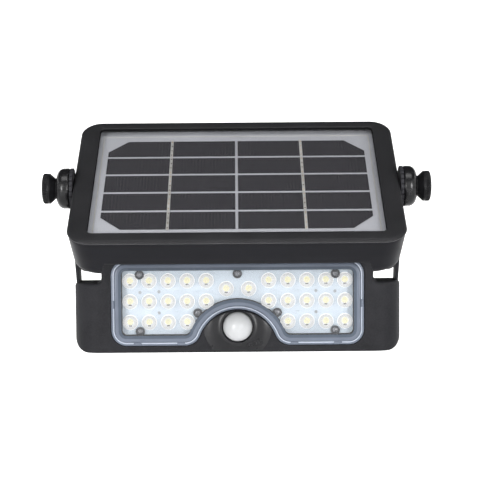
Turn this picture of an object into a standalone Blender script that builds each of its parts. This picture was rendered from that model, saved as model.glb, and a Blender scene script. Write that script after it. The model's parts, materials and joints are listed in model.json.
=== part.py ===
"""Solar flood light: a tilting solar panel and a lamp head clamped on one wall bracket.

Run with: blender --background --python part.py

Lengths are in millimetres and are turned to metres when a mesh is made. The light faces -Y and the
wall is at y = 0, with +Z up. Every moving group hangs from an empty on the hinge line, so the
coordinates of its pieces are measured from that line.
"""
import math

import bmesh
import bpy
from mathutils import Matrix, Vector

MM = 0.001
GAP = 0.3                      # clearance between neighbouring pieces

# --- Driving dimensions -------------------------------------------------------------------------
HINGE_REACH = 75.0             # wall face to hinge line
HINGE_HEIGHT = 27.0            # hinge line above the middle of the wall plate
PANEL_TILT = 32.0              # panel's slope from level, in degrees

# Panel: local z is measured from the hinge line, square to the glass
BEZEL_WIDTH = 194.6
BEZEL_DEPTH = 129.2
BEZEL_CORNER = 13.0
BEZEL_TOP = 7.5
PARTING_Z = 5.0
SKIRT_LOW_Z = 4.0              # lower end of the skirt that locates the bezel in the tray
GLASS_HALF_X = 87.15
GLASS_HALF_Y = 60.0
WINDOW_WIDTH = 170.5
WINDOW_DEPTH = 111.6
GLASS_TOP = 5.0
GLASS_THICK = 1.6
CELL_AREA_WIDTH = 158.75
CELL_AREA_DEPTH = 94.4
CELL_ROWS = 5
ROW_GAP = 2.1
COLUMN_GAP = 1.6
CELL_CHAMFER = 12.0
CELL_THICK = 0.2
BACKING_THICK = 1.2
SHELL_FLOOR_Z = -12.6          # underside between the two deep ends
SHELL_FOOT_Z = -23.7           # underside of the deep ends
FOOT_INNER_X = 79.6
SHELL_WALL = 2.2

# Hinge stack, distances from the middle plane
ARM_INNER_X = 97.9
ARM_OUTER_X = 99.9
BARREL_INNER_X = 100.2
BARREL_OUTER_X = 108.0
BARREL_RADIUS = 12.2
STUD_RADIUS = 2.0
STUD_BORE = 2.35
KNOB_START_X = 108.3
KNOB_END_X = 117.2
KNOB_RADIUS = 9.1
KNOB_NECK = 6.2

# Wall bracket
PLATE_THICK = 4.0
PLATE_LOW_Z = -57.0
PLATE_HIGH_Z = 3.0
BRACKET_ARM_INNER_X = 101.8
BRACKET_ARM_OUTER_X = 104.3
ARM_END_RADIUS = 11.8          # just inside the barrel that it carries
KEYHOLE_X = 60.0

# Lamp head: y is measured from the hinge line, and grows towards the wall
FACE_Y = 10.0
BACK_Y = 36.0
HEAD_TOP_Z = -26.0
HEAD_BOTTOM_Z = -102.0
TOP_HALF_X = 78.3              # upper part, which the panel's deep ends straddle
BODY_HALF_X = 83.5
WING_HALF_X = 101.3
STEP_Z = -45.5
WING_TOP_Z = -59.0
WING_ROUND = 17.0
HEAD_WALL = 2.6
COVER_THICK = 2.0
BAY_FRONT_Y = 17.4             # front of the electronics bay

# Lens and light engine
LENS_HALF_X = 77.6
LENS_TOP_Z = -44.4
LENS_BOTTOM_Z = -97.4
LENS_CORNER = 9.5
ARCH_RADIUS = 24.8
ARCH_CENTRE_Z = -100.1
ARCH_FILLET = 10.0
LENS_SEAT_Y = 12.4
LED_COLUMNS = (19.2, 31.0, 42.7, 54.4, 66.1)
LED_ROWS = (-57.8, -70.5, -83.3)
LED_CENTRE_PAIR = (6.9, -62.9)
LED_DOME_RADIUS = 4.45
BOARD_INSET = 6.6
BOARD_SCREWS = ((0.0, -53.5), (60.2, -53.8), (-60.2, -53.8), (24.4, -77.6), (-24.4, -77.6),
                (60.0, -88.8), (-60.0, -88.8))

# Motion sensor
SENSOR_Z = -85.6
SENSOR_DOME_RADIUS = 9.05
SURROUND_RADIUS = 21.0
SURROUND_FRONT_Y = 5.6

# Electronics and power
CELL_RADIUS = 9.15             # 18650 cell
CELL_LENGTH = 65.0
BATTERY_Y = 23.3
BATTERY_Z = -38.0
BUTTON_Z = -82.0
BUTTON_RADIUS = 5.0
CONTROL_BOARD_Y = 21.5
BOARD_POSTS = ((-48, -57.5), (-48, -90.0), (48, -57.5), (48, -90.0))
SENSOR_BOARD_Y = 19.4
HOLDER_HALF_X = 69.0
COVER_REBATE = 3.2             # depth of the rear opening that takes the cover
COVER_INSET = 1.2              # width of the lip around the cover
COVER_SCREWS = ((73.5, -32.5), (-73.5, -32.5), (89.0, -82.0), (-89.0, -82.0))
SHELL_SCREWS = ((90.5, 44.0), (-90.5, 44.0), (90.5, -44.0), (-90.5, -44.0))

# Base colour, roughness, metallic
FINISHES = {
    "bezel_black": ((0.040, 0.040, 0.042), 0.55, 0.0),
    "shell_black": ((0.028, 0.028, 0.031), 0.50, 0.0),
    "head_black": ((0.034, 0.034, 0.037), 0.60, 0.0),
    "knob_black": ((0.025, 0.025, 0.027), 0.45, 0.0),
    "clear_plastic": ((0.80, 0.85, 0.88), 0.08, 0.0),
    "panel_glass": ((0.75, 0.76, 0.80), 0.12, 0.0),
    "solar_cell": ((0.050, 0.046, 0.052), 0.30, 0.0),
    "white_backing": ((0.62, 0.63, 0.66), 0.50, 0.0),
    "board_white": ((0.78, 0.84, 0.90), 0.45, 0.0),
    "board_green": ((0.03, 0.16, 0.07), 0.45, 0.0),
    "rubber": ((0.030, 0.030, 0.030), 0.85, 0.0),
    "steel": ((0.55, 0.55, 0.56), 0.30, 1.0),
    "dark_steel": ((0.16, 0.16, 0.17), 0.35, 1.0),
    "brass": ((0.70, 0.52, 0.22), 0.30, 1.0),
    "milky_dome": ((0.80, 0.80, 0.81), 0.40, 0.0),
    "battery_sleeve": ((0.05, 0.22, 0.45), 0.35, 0.0),
    "wire_red": ((0.45, 0.03, 0.02), 0.50, 0.0),
}

BACKWARDS = Matrix.Rotation(math.radians(90), 4, "X")     # outline x, y to x, z; depth along -y
SIDEWAYS = Matrix(((0, 0, 1, 0), (1, 0, 0, 0), (0, 1, 0, 0), (0, 0, 0, 1)))   # x, y to y, z
FLAT = Matrix.Identity(4)

TURN_RIGHT = (0, math.radians(90), 0)      # a turned piece's axis along +X
TURN_LEFT = (0, math.radians(-90), 0)      # along -X
TURN_FRONT = (math.radians(90), 0, 0)      # along -Y
TURN_BACK = (math.radians(-90), 0, 0)      # along +Y
TURN_DOWN = (math.radians(180), 0, 0)      # along -Z


# --- Scene, materials and parenting ---------------------------------------------------------------
def clear_scene():
    for thing in list(bpy.data.objects):
        bpy.data.objects.remove(thing, do_unlink=True)


def new_collection(name):
    collection = bpy.data.collections.new(name)
    bpy.context.scene.collection.children.link(collection)
    return collection


def make_material(name, finish):
    colour, roughness, metallic = FINISHES[finish]
    material = bpy.data.materials.new(name)
    material.use_nodes = True
    shader = material.node_tree.nodes["Principled BSDF"]
    shader.inputs["Base Color"].default_value = (*colour, 1.0)
    shader.inputs["Roughness"].default_value = roughness
    shader.inputs["Metallic"].default_value = metallic
    material.diffuse_color = (*colour, 1.0)
    return material


def make_pivot(name, parent=None, location=(0, 0, 0), tilt=0.0):
    pivot = bpy.data.objects.new(name, None)
    PARTS.objects.link(pivot)
    pivot.parent = parent
    pivot.location = Vector(location) * MM
    pivot.rotation_euler = (math.radians(tilt), 0, 0)
    return pivot


def place(name, mesh, pivot, location, rotation, finish):
    """A named piece of the lamp; with no finish it is a cutter or a shape to be joined."""
    piece = bpy.data.objects.new(name, mesh)
    piece.parent = pivot
    piece.location = Vector(location) * MM
    piece.rotation_euler = rotation
    if finish:
        PARTS.objects.link(piece)
        piece.data.materials.append(make_material(name, finish))
    else:
        CUTTERS.objects.link(piece)
        piece.hide_render = True
        piece.display_type = "WIRE"
    return piece


# --- Outlines ---------------------------------------------------------------------------------------
def arc(centre_x, centre_y, radius, start, end, steps):
    """Points on a circle from one angle to another, in degrees."""
    points = []
    for step in range(steps + 1):
        angle = math.radians(start + (end - start) * step / steps)
        points.append((centre_x + radius * math.cos(angle), centre_y + radius * math.sin(angle)))
    return points


def rounded(corners, steps=4):
    """A closed outline from corners (x, y, radius), with an arc at each corner that has a radius."""
    points = []
    count = len(corners)
    for index, (x, y, radius) in enumerate(corners):
        here = Vector((x, y))
        if radius == 0:
            points.append((x, y))
            continue
        to_last = (Vector(corners[index - 1][:2]) - here).normalized()
        to_next = (Vector(corners[(index + 1) % count][:2]) - here).normalized()
        half_angle = to_last.angle(to_next) / 2
        centre = here + (to_last + to_next).normalized() * radius / math.sin(half_angle)
        reach = radius / math.tan(half_angle)
        first = here + to_last * reach - centre
        last = here + to_next * reach - centre
        turn = first.angle_signed(last)
        for step in range(steps + 1):
            point = centre + Matrix.Rotation(-turn * step / steps, 2) @ first
            points.append((point.x, point.y))
    return points


def rectangle(half_x, half_y, radius, steps=4):
    return rounded([(half_x, -half_y, radius), (half_x, half_y, radius),
                    (-half_x, half_y, radius), (-half_x, -half_y, radius)], steps)


def mirrored(right_half):
    """Closes an outline whose right half is listed from the bottom to the top."""
    return right_half + [(-x, *rest) for x, *rest in reversed(right_half)]


def head_outline(inset=0.0):
    """Front view of the lamp head: upper body, lower body and the two wings."""
    bottom = HEAD_BOTTOM_Z + inset
    wing = WING_HALF_X - inset
    wing_top = WING_TOP_Z - inset
    body = BODY_HALF_X - inset
    top = TOP_HALF_X - inset
    step = STEP_Z - inset
    head_top = HEAD_TOP_Z - inset
    right = [(wing, bottom, 9.2 - inset), (wing, wing_top, 3.0 - min(inset, 2.0)),
             (body, wing_top, 3.5), (body, step, 1.0), (top, step, 1.0),
             (top, head_top, 4.0 - min(inset, 2.0))]
    return rounded(mirrored(right), 4)


def head_plan(inset=0.0):
    """Top view of the lamp head: its ends curve back from the face."""
    half = WING_HALF_X - inset
    front = FACE_Y + inset
    radius = WING_ROUND - inset
    right = arc(half - radius, front + radius, radius, -90, 0, 6) + [(half, BACK_Y + 20)]
    return right + [(-x, y) for x, y in reversed(right)]


def lens_outline(inset=0.0):
    """Front view of the lens: a rounded rectangle with an arch over the motion sensor."""
    half = LENS_HALF_X - inset
    low = LENS_BOTTOM_Z + inset
    top = LENS_TOP_Z - inset
    corner = LENS_CORNER - inset
    fillet_z = LENS_BOTTOM_Z + ARCH_FILLET
    reach = ARCH_RADIUS + ARCH_FILLET
    fillet_x = math.sqrt(reach ** 2 - (fillet_z - ARCH_CENTRE_Z) ** 2)
    meet = math.degrees(math.atan2(fillet_z - ARCH_CENTRE_Z, fillet_x))
    right = arc(0, ARCH_CENTRE_Z, ARCH_RADIUS + inset, 90, meet, 6)
    right += arc(fillet_x, fillet_z, ARCH_FILLET - inset, 180 + meet, 270, 4)
    right += arc(half - corner, low + corner, corner, -90, 0, 4)
    right += arc(half - corner, top - corner, corner, 0, 90, 4)
    return right + [(-x, z) for x, z in reversed(right[1:])]


# --- Solids -----------------------------------------------------------------------------------------
def plate_mesh(name, outline, low, high, turn=FLAT):
    """A flat outline with a thickness, from low to high along the axis that it is turned to."""
    curve = bpy.data.curves.new(name, "CURVE")
    curve.dimensions = "2D"
    curve.fill_mode = "BOTH"
    curve.extrude = (high - low) / 2 * MM
    spline = curve.splines.new("POLY")
    spline.points.add(len(outline) - 1)
    for point, (x, y) in zip(spline.points, outline):
        point.co = (x * MM, y * MM, 0, 1)
    spline.use_cyclic_u = True
    guide = bpy.data.objects.new(name, curve)
    CUTTERS.objects.link(guide)
    bpy.context.view_layer.update()
    mesh = bpy.data.meshes.new_from_object(guide.evaluated_get(bpy.context.evaluated_depsgraph_get()))
    mesh.name = name
    bpy.data.objects.remove(guide, do_unlink=True)
    bpy.data.curves.remove(curve)
    middle = (low + high) / 2 * MM
    if turn is BACKWARDS:
        middle = -middle
    mesh.transform(turn @ Matrix.Translation((0, 0, middle)))
    shape = bmesh.new()
    shape.from_mesh(mesh)
    bmesh.ops.remove_doubles(shape, verts=shape.verts, dist=1e-6)
    bmesh.ops.dissolve_limit(shape, angle_limit=1e-3, verts=shape.verts, edges=shape.edges)
    bmesh.ops.recalc_face_normals(shape, faces=shape.faces)
    shape.to_mesh(mesh)
    shape.free()
    return mesh


def plate(name, outline, low, high, pivot, turn=FLAT, finish=None):
    return place(name, plate_mesh(name, outline, low, high, turn), pivot, (0, 0, 0), (0, 0, 0), finish)


def block(name, low, high, pivot, finish=None):
    """A box between two corners."""
    shape = bmesh.new()
    bmesh.ops.create_cube(shape, size=1.0)
    size = (Vector(high) - Vector(low)) * MM
    bmesh.ops.scale(shape, vec=size, verts=shape.verts)
    mesh = bpy.data.meshes.new(name)
    shape.to_mesh(mesh)
    shape.free()
    middle = (Vector(low) + Vector(high)) / 2
    return place(name, mesh, pivot, middle, (0, 0, 0), finish)


def rod(name, radius, low, high, pivot, location, rotation, finish=None, segments=16):
    """A cylinder from low to high along the axis that its rotation gives it."""
    shape = bmesh.new()
    bmesh.ops.create_cone(shape, cap_ends=True, segments=segments, radius1=radius * MM,
                          radius2=radius * MM, depth=(high - low) * MM)
    bmesh.ops.translate(shape, vec=(0, 0, (high + low) / 2 * MM), verts=shape.verts)
    mesh = bpy.data.meshes.new(name)
    shape.to_mesh(mesh)
    shape.free()
    return place(name, mesh, pivot, location, rotation, finish)


def turned(name, profile, pivot, location, rotation, finish=None, steps=32):
    """A turned piece: (radius, height) points run down its outer side, from top to bottom."""
    shape = bmesh.new()
    points = [shape.verts.new((radius * MM, 0, height * MM)) for radius, height in profile]
    for first, second in zip(points, points[1:]):
        shape.edges.new((first, second))
    if profile[0][0] > 0:
        shape.edges.new((points[-1], points[0]))
    mesh = bpy.data.meshes.new(name)
    shape.to_mesh(mesh)
    shape.free()
    piece = place(name, mesh, pivot, location, rotation, finish)
    screw = piece.modifiers.new("turn", "SCREW")
    screw.axis = "Z"
    screw.steps = steps
    screw.render_steps = steps
    screw.use_merge_vertices = True
    screw.merge_threshold = 1e-5
    screw.use_smooth_shade = True
    return piece


def boolean(piece, tool, operation):
    modifier = piece.modifiers.new(tool.name, "BOOLEAN")
    modifier.operation = operation
    modifier.solver = "EXACT"
    modifier.object = tool


def cut(piece, *tools):
    for tool in tools:
        boolean(piece, tool, "DIFFERENCE")


def join(piece, *tools):
    for tool in tools:
        boolean(piece, tool, "UNION")


def keep(piece, *tools):
    for tool in tools:
        boolean(piece, tool, "INTERSECT")


def soften(piece, width, segments, chosen):
    """Rounds the mesh edges whose two ends are both chosen by their place in millimetres."""
    shape = bmesh.new()
    shape.from_mesh(piece.data)
    edges = [edge for edge in shape.edges if all(chosen(vert.co / MM) for vert in edge.verts)]
    bmesh.ops.bevel(shape, geom=edges, offset=width * MM, segments=segments, profile=0.5,
                    affect="EDGES", clamp_overlap=True)
    shape.to_mesh(piece.data)
    shape.free()


def screw_piece(name, head_radius, head_height, shank_radius, length, pivot, location, rotation):
    """A pan-head screw: its head starts at the location and its shank runs the other way."""
    profile = [(0, head_height), (head_radius * 0.7, head_height), (head_radius, head_height * 0.55),
               (head_radius, 0), (shank_radius, 0), (shank_radius, -length), (0, -length - 0.6)]
    return turned(name, profile, pivot, location, rotation, "dark_steel", 10)


# --- Wall bracket -----------------------------------------------------------------------------------
def build_bracket(pivot):
    half = BRACKET_ARM_OUTER_X
    middle_z = (PLATE_HIGH_Z + PLATE_LOW_Z) / 2
    front_y = HINGE_REACH - PLATE_THICK
    wall_plate = rounded([(half, PLATE_LOW_Z, 6), (half, PLATE_HIGH_Z, 6),
                          (-half, PLATE_HIGH_Z, 6), (-half, PLATE_LOW_Z, 6)], 4)
    bracket = plate("wall_bracket", wall_plate, front_y, HINGE_REACH, pivot, BACKWARDS, "head_black")
    side = arc(0, 0, ARM_END_RADIUS, 97, 270, 13) + [(36, -ARM_END_RADIUS), (52, -20)]
    side += [(HINGE_REACH - 14, PLATE_LOW_Z + 10), (HINGE_REACH - 2, PLATE_LOW_Z + 6),
             (HINGE_REACH - 2, PLATE_HIGH_Z - 6), (HINGE_REACH - 14, PLATE_HIGH_Z + 1.0)]
    for end, sign in (("right", 1), ("left", -1)):
        low, high = sorted((sign * BRACKET_ARM_INNER_X, sign * BRACKET_ARM_OUTER_X))
        turn = TURN_RIGHT if sign > 0 else TURN_LEFT
        arm = plate(f"bracket_arm_{end}", side, low, high, pivot, SIDEWAYS)
        edge = BARREL_OUTER_X
        profile = [(0, edge), (8.0, edge), (9.9, edge - 0.8), (11.4, edge - 2.4),
                   (BARREL_RADIUS, edge - 4.6), (BARREL_RADIUS, BARREL_INNER_X), (0, BARREL_INNER_X)]
        barrel = turned(f"barrel_{end}", profile, pivot, (0, 0, 0), turn, None, 28)
        bore = rod(f"barrel_bore_{end}", STUD_BORE, 95, 112, pivot, (0, 0, 0), turn)
        recess = rod(f"washer_recess_{end}", 6.1, edge - 1.1, edge + 1, pivot, (0, 0, 0), turn)
        keyhole = rod(f"keyhole_{end}", 4.6, -6, 6, pivot,
                      (sign * KEYHOLE_X, HINGE_REACH - 2, middle_z - 6), TURN_BACK)
        slot = block(f"keyhole_slot_{end}", (sign * KEYHOLE_X - 2.3, front_y - 2, middle_z - 6),
                     (sign * KEYHOLE_X + 2.3, HINGE_REACH + 2, middle_z + 8), pivot)
        rib_low, rib_high = sorted((sign * 88.0, sign * 102.5))
        rib = block(f"bracket_rib_{end}", (rib_low, front_y - 1.2, middle_z - 16),
                    (rib_high, front_y + 1, middle_z + 16), pivot)
        join(bracket, arm, barrel, rib)
        cut(bracket, bore, recess, keyhole, slot)
        turned(f"knob_washer_{end}", [(5.8, edge - 0.15), (5.8, edge - 0.8), (2.4, edge - 0.8),
                                      (2.4, edge - 0.15)], pivot, (0, 0, 0), turn, "steel", 12)


# --- Clamp knobs ------------------------------------------------------------------------------------
def build_knob(end, pivot, turn):
    start, tip, radius = KNOB_START_X, KNOB_END_X, KNOB_RADIUS
    bore = STUD_RADIUS + GAP
    profile = [(0, tip), (6.4, tip), (radius - 0.2, tip - 0.9), (radius, tip - 1.3),
               (radius, start + 3.2), (KNOB_NECK + 0.4, start + 1.0), (KNOB_NECK, start + 0.4),
               (KNOB_NECK, start), (bore, start), (bore, start + 5.2), (0, start + 5.2)]
    turned(f"knob_{end}", profile, pivot, (0, 0, 0), turn, "knob_black", 24)
    turned(f"clamp_stud_{end}", [(0, start + 4.8), (STUD_RADIUS, start + 4.8), (STUD_RADIUS, 89.5),
                                 (STUD_RADIUS - 0.5, 89.0), (0, 89.0)],
           pivot, (0, 0, 0), turn, "steel", 12)


# --- Lamp head ---------------------------------------------------------------------------------------
def arm_outline():
    """Side view of an arm: from the wing up to the disc on the hinge."""
    foot = WING_TOP_Z - 4
    return [(34.6, foot), (34.6, WING_TOP_Z)] + arc(0, 0, BARREL_RADIUS, 15, 200, 14) \
        + [(22.6, WING_TOP_Z), (22.6, foot)]


def build_housing(pivot):
    housing = plate("head_housing", head_outline(), FACE_Y, BACK_Y, pivot, BACKWARDS, "head_black")
    soften(housing, 1.4, 1, lambda place: place.y < FACE_Y + 0.01)
    keep(housing, plate("head_plan", head_plan(), HEAD_BOTTOM_Z - 5, HEAD_TOP_Z + 5, pivot))
    for end, sign in (("right", 1), ("left", -1)):
        low, high = sorted((sign * ARM_INNER_X, sign * ARM_OUTER_X))
        turn = TURN_RIGHT if sign > 0 else TURN_LEFT
        join(housing, plate(f"head_arm_{end}", arm_outline(), low, high, pivot, SIDEWAYS))
        cut(housing, rod(f"arm_bore_{end}", STUD_BORE, 95, 112, pivot, (0, 0, 0), turn))
    bay = plate("bay", head_outline(HEAD_WALL), BAY_FRONT_Y, BACK_Y + 5, pivot, BACKWARDS)
    keep(bay, plate("bay_plan", head_plan(HEAD_WALL), HEAD_BOTTOM_Z - 5, HEAD_TOP_Z + 5, pivot))
    trough = rod("battery_trough", CELL_RADIUS + 0.7, -71, 71, pivot,
                 (0, BATTERY_Y, BATTERY_Z), TURN_RIGHT)
    rebate = plate("cover_rebate", head_outline(COVER_INSET), BACK_Y - COVER_REBATE, BACK_Y + 5, pivot,
                   BACKWARDS)
    seat = plate("lens_seat", lens_outline(-0.4), FACE_Y - 5, LENS_SEAT_Y, pivot, BACKWARDS)
    pocket = plate("board_pocket", lens_outline(BOARD_INSET - 0.4), FACE_Y - 5, 15.4, pivot, BACKWARDS)
    opening = rod("sensor_opening", SENSOR_DOME_RADIUS + 0.4, FACE_Y - 5, BACK_Y + 5, pivot,
                  (0, 0, SENSOR_Z), TURN_BACK)
    cut(housing, bay, trough, rebate, seat, pocket)
    for index, (x, z) in enumerate(COVER_SCREWS, 1):
        join(housing, rod(f"cover_post_{index}", 3.4, 14.5, BACK_Y - COVER_REBATE, pivot, (x, 0, z),
                          TURN_BACK, segments=16))
        cut(housing, rod(f"cover_pilot_{index}", 1.5, 22, BACK_Y + 4, pivot, (x, 0, z),
                         TURN_BACK, segments=12))
    for index, (x, z) in enumerate(BOARD_POSTS, 1):
        join(housing, rod(f"board_post_{index}", 2.6, BAY_FRONT_Y - 0.9, CONTROL_BOARD_Y - GAP, pivot,
                          (x, 0, z), TURN_BACK, segments=12))
    for index, (x, z) in enumerate(BOARD_SCREWS, 1):
        cut(housing, rod(f"board_pilot_{index}", 1.4, 10, 20, pivot, (x, 0, z), TURN_BACK, segments=12))
    cut(housing, opening)


def build_rear_cover(pivot):
    cover = plate("rear_cover", head_outline(COVER_INSET + GAP), BACK_Y - COVER_THICK, BACK_Y, pivot,
                  BACKWARDS, "head_black")
    cut(cover, rod("button_hole", BUTTON_RADIUS + 0.35, BACK_Y - 5, BACK_Y + 5, pivot,
                   (0, 0, BUTTON_Z), TURN_BACK))
    for index, (x, z) in enumerate(COVER_SCREWS, 1):
        cut(cover, rod(f"cover_hole_{index}", 1.6, BACK_Y - 5, BACK_Y + 5, pivot, (x, 0, z),
                       TURN_BACK, segments=12))
        screw_piece(f"cover_screw_{index}", 2.8, 1.5, 1.2, 9.0, pivot, (x, BACK_Y + GAP, z), TURN_BACK)
    gasket = plate("cover_gasket", head_outline(1.6), BACK_Y - 2.9, BACK_Y - 2.3, pivot,
                   BACKWARDS, "rubber")
    cut(gasket, plate("gasket_middle", head_outline(2.4), BACK_Y - 6, BACK_Y + 2, pivot, BACKWARDS))


def build_lens(pivot):
    lens = plate("lens_cover", lens_outline(), 9.0, LENS_SEAT_Y - 1.0, pivot, BACKWARDS, "clear_plastic")
    join(lens, plate("lens_step", lens_outline(2.2), 7.0, 9.5, pivot, BACKWARDS))
    cut(lens, plate("lens_hollow", lens_outline(5.0), 8.4, LENS_SEAT_Y + 2, pivot, BACKWARDS))
    gasket = plate("lens_gasket", lens_outline(0.6), LENS_SEAT_Y - 0.7, LENS_SEAT_Y - 0.3, pivot,
                   BACKWARDS, "rubber")
    cut(gasket, plate("lens_gasket_middle", lens_outline(3.4), 8, 16, pivot, BACKWARDS))


def led_places():
    """Each emitter's x and z: three rows on both sides, less the two that the arch takes."""
    places = [(sign * LED_CENTRE_PAIR[0], LED_CENTRE_PAIR[1]) for sign in (-1, 1)]
    for row, z in enumerate(LED_ROWS):
        columns = LED_COLUMNS[1:] if row == 2 else LED_COLUMNS
        places += [(sign * x, z) for x in columns for sign in (-1, 1)]
    return places


def build_light_engine(pivot):
    board = plate("led_board", lens_outline(BOARD_INSET), 13.4, 15.0, pivot, BACKWARDS, "board_white")
    optics = plate("lens_array", lens_outline(BOARD_INSET), 12.2, 12.7, pivot, BACKWARDS,
                   "clear_plastic")
    for index, (x, z) in enumerate(BOARD_SCREWS, 1):
        cut(board, rod(f"board_hole_{index}", 1.5, 12, 17, pivot, (x, 0, z), TURN_BACK, segments=12))
        cut(optics, rod(f"optics_hole_{index}", 2.7, 10, 14, pivot, (x, 0, z), TURN_BACK, segments=16))
        screw_piece(f"board_screw_{index}", 2.3, 1.6, 1.1, 5.0, pivot, (x, 13.1, z), TURN_FRONT)
    radius = LED_DOME_RADIUS
    dome = [(0, 3.4), (radius * 0.68, 2.6), (radius, -0.12), (0, -0.12)]
    for index, (x, z) in enumerate(led_places(), 1):
        join(board, block(f"led_chip_{index}", (x - 1.5, 13.0, z - 1.5), (x + 1.5, 13.8, z + 1.5), pivot))
        join(optics, turned(f"led_dome_{index}", dome, pivot, (x, 12.2, z), TURN_FRONT, None, 10))


def build_motion_sensor(pivot):
    inner = SENSOR_DOME_RADIUS + 0.5
    flare = [(inner + 0.9, FACE_Y - SURROUND_FRONT_Y), (inner + 3.2, 3.5), (inner + 6.4, 1.7),
             (SURROUND_RADIUS, 0.65), (SURROUND_RADIUS, GAP), (inner, GAP),
             (inner, FACE_Y - SURROUND_FRONT_Y - 0.5)]
    surround = turned("sensor_surround", flare, pivot, (0, FACE_Y, SENSOR_Z), TURN_FRONT,
                      "head_black", 32)
    cut(surround, plate("surround_trim", lens_outline(-0.6), FACE_Y - 9, FACE_Y + 5, pivot, BACKWARDS),
        block("surround_floor", (-40, FACE_Y - 9, HEAD_BOTTOM_Z - 30),
              (40, FACE_Y + 5, HEAD_BOTTOM_Z + 1.6), pivot))
    radius = SENSOR_DOME_RADIUS
    shell = 0.9
    outer = [(radius * math.sin(math.radians(a)), radius * math.cos(math.radians(a)))
             for a in range(0, 91, 18)]
    inner_side = [((radius - shell) * math.sin(math.radians(a)), (radius - shell) * math.cos(math.radians(a)))
                  for a in range(90, -1, -30)]
    profile = outer + [(radius, -9.6), (radius + 1.2, -9.6), (radius + 1.2, -10.6),
                       (radius - shell, -10.6)] + inner_side
    turned("sensor_dome", profile, pivot, (0, 8.0, SENSOR_Z), TURN_FRONT, "milky_dome", 24)
    board = block("sensor_board", (-13, SENSOR_BOARD_Y, SENSOR_Z - 6.5),
                  (13, SENSOR_BOARD_Y + 1.2, SENSOR_Z + 6.5), pivot, "board_green")
    cut(board, rod("sensor_board_slot", 1.0, 15, 25, pivot, (11, 0, SENSOR_Z), TURN_BACK, segments=12))
    turned("sensor_can", [(0, 9.0), (4.1, 9.0), (4.1, 5.4), (4.6, 5.4), (4.6, 4.7), (0, 4.7)],
           pivot, (0, 23.8, SENSOR_Z), TURN_FRONT, "steel", 16)


def build_electronics(pivot):
    y = CONTROL_BOARD_Y
    board = block("control_board", (-54, y, -94.0), (54, y + 1.6, -54.0), pivot, "board_green")
    choke = rod("choke", 5.5, -1, 6, pivot, (30, y + 1.6, -70), TURN_BACK, segments=20)
    capacitor = rod("capacitor", 4.0, -1, 7.5, pivot, (-28, y + 1.6, -84), TURN_BACK, segments=20)
    switch = block("tact_switch", (-3, y + 1, BUTTON_Z - 3), (3, y + 4.3, BUTTON_Z + 3), pivot)
    chip = block("controller", (-10, y + 1, -68), (2, y + 3.2, -60), pivot)
    socket = block("battery_socket", (-46, y + 1, -66), (-38, y + 5.0, -60), pivot)
    join(board, choke, capacitor, switch, chip, socket)
    holder = block("battery_holder", (-HOLDER_HALF_X, 19, -50.2), (HOLDER_HALF_X, 31, -48.2), pivot,
                   "shell_black")
    walls = [block(f"holder_wall_{index}", (x - 0.8, 19, -49), (x + 0.8, 31, -30), pivot)
             for index, x in enumerate((0.8 - HOLDER_HALF_X, 0, HOLDER_HALF_X - 0.8), 1)]
    join(holder, *walls)
    for end, turn in (("right", TURN_RIGHT), ("left", TURN_LEFT)):
        radius = CELL_RADIUS
        turned(f"battery_cell_{end}", [(0, 1.2 + CELL_LENGTH), (2.9, 1.2 + CELL_LENGTH),
                                       (2.9, CELL_LENGTH - 0.4), (radius - 0.5, CELL_LENGTH - 0.4),
                                       (radius, CELL_LENGTH - 1.2), (radius, 1.8), (radius - 0.5, 1.2),
                                       (0, 1.2)],
               pivot, (0, BATTERY_Y, BATTERY_Z), turn, "battery_sleeve", 16)
    lead_points = [(-50, 27, -50.8), (-50, 27.6, -53), (-48, 28.2, -55.2), (-45, 28.4, -57),
                   (-42.6, 28.4, -59), (-42, 28.1, -60.8), (-42, 27.9, -62.6)]
    wire("battery_lead", lead_points, 0.8, pivot, "wire_red")


def wire(name, points, radius, pivot, finish):
    """A lead on a smooth run of points, as a closed tube."""
    curve = bpy.data.curves.new(name, "CURVE")
    curve.dimensions = "3D"
    curve.bevel_depth = radius * MM
    curve.bevel_resolution = 2
    curve.use_fill_caps = True
    spline = curve.splines.new("POLY")
    spline.points.add(len(points) - 1)
    for point, place_mm in zip(spline.points, points):
        point.co = (*(Vector(place_mm) * MM), 1)
    return place(name, curve, pivot, (0, 0, 0), (0, 0, 0), finish)


def build_button(pivot):
    """Origin at the push button's face, so that it slides along its own axis."""
    profile = [(0, 0.0), (BUTTON_RADIUS - 0.7, 0.0), (BUTTON_RADIUS, -0.7), (BUTTON_RADIUS, -3.6),
               (BUTTON_RADIUS + 1.2, -3.6), (BUTTON_RADIUS + 1.2, -4.6), (1.5, -4.6), (1.5, -10.2),
               (0, -10.2)]
    turned("power_button", profile, pivot, (0, 0, 0), TURN_BACK, "rubber", 16)


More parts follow.
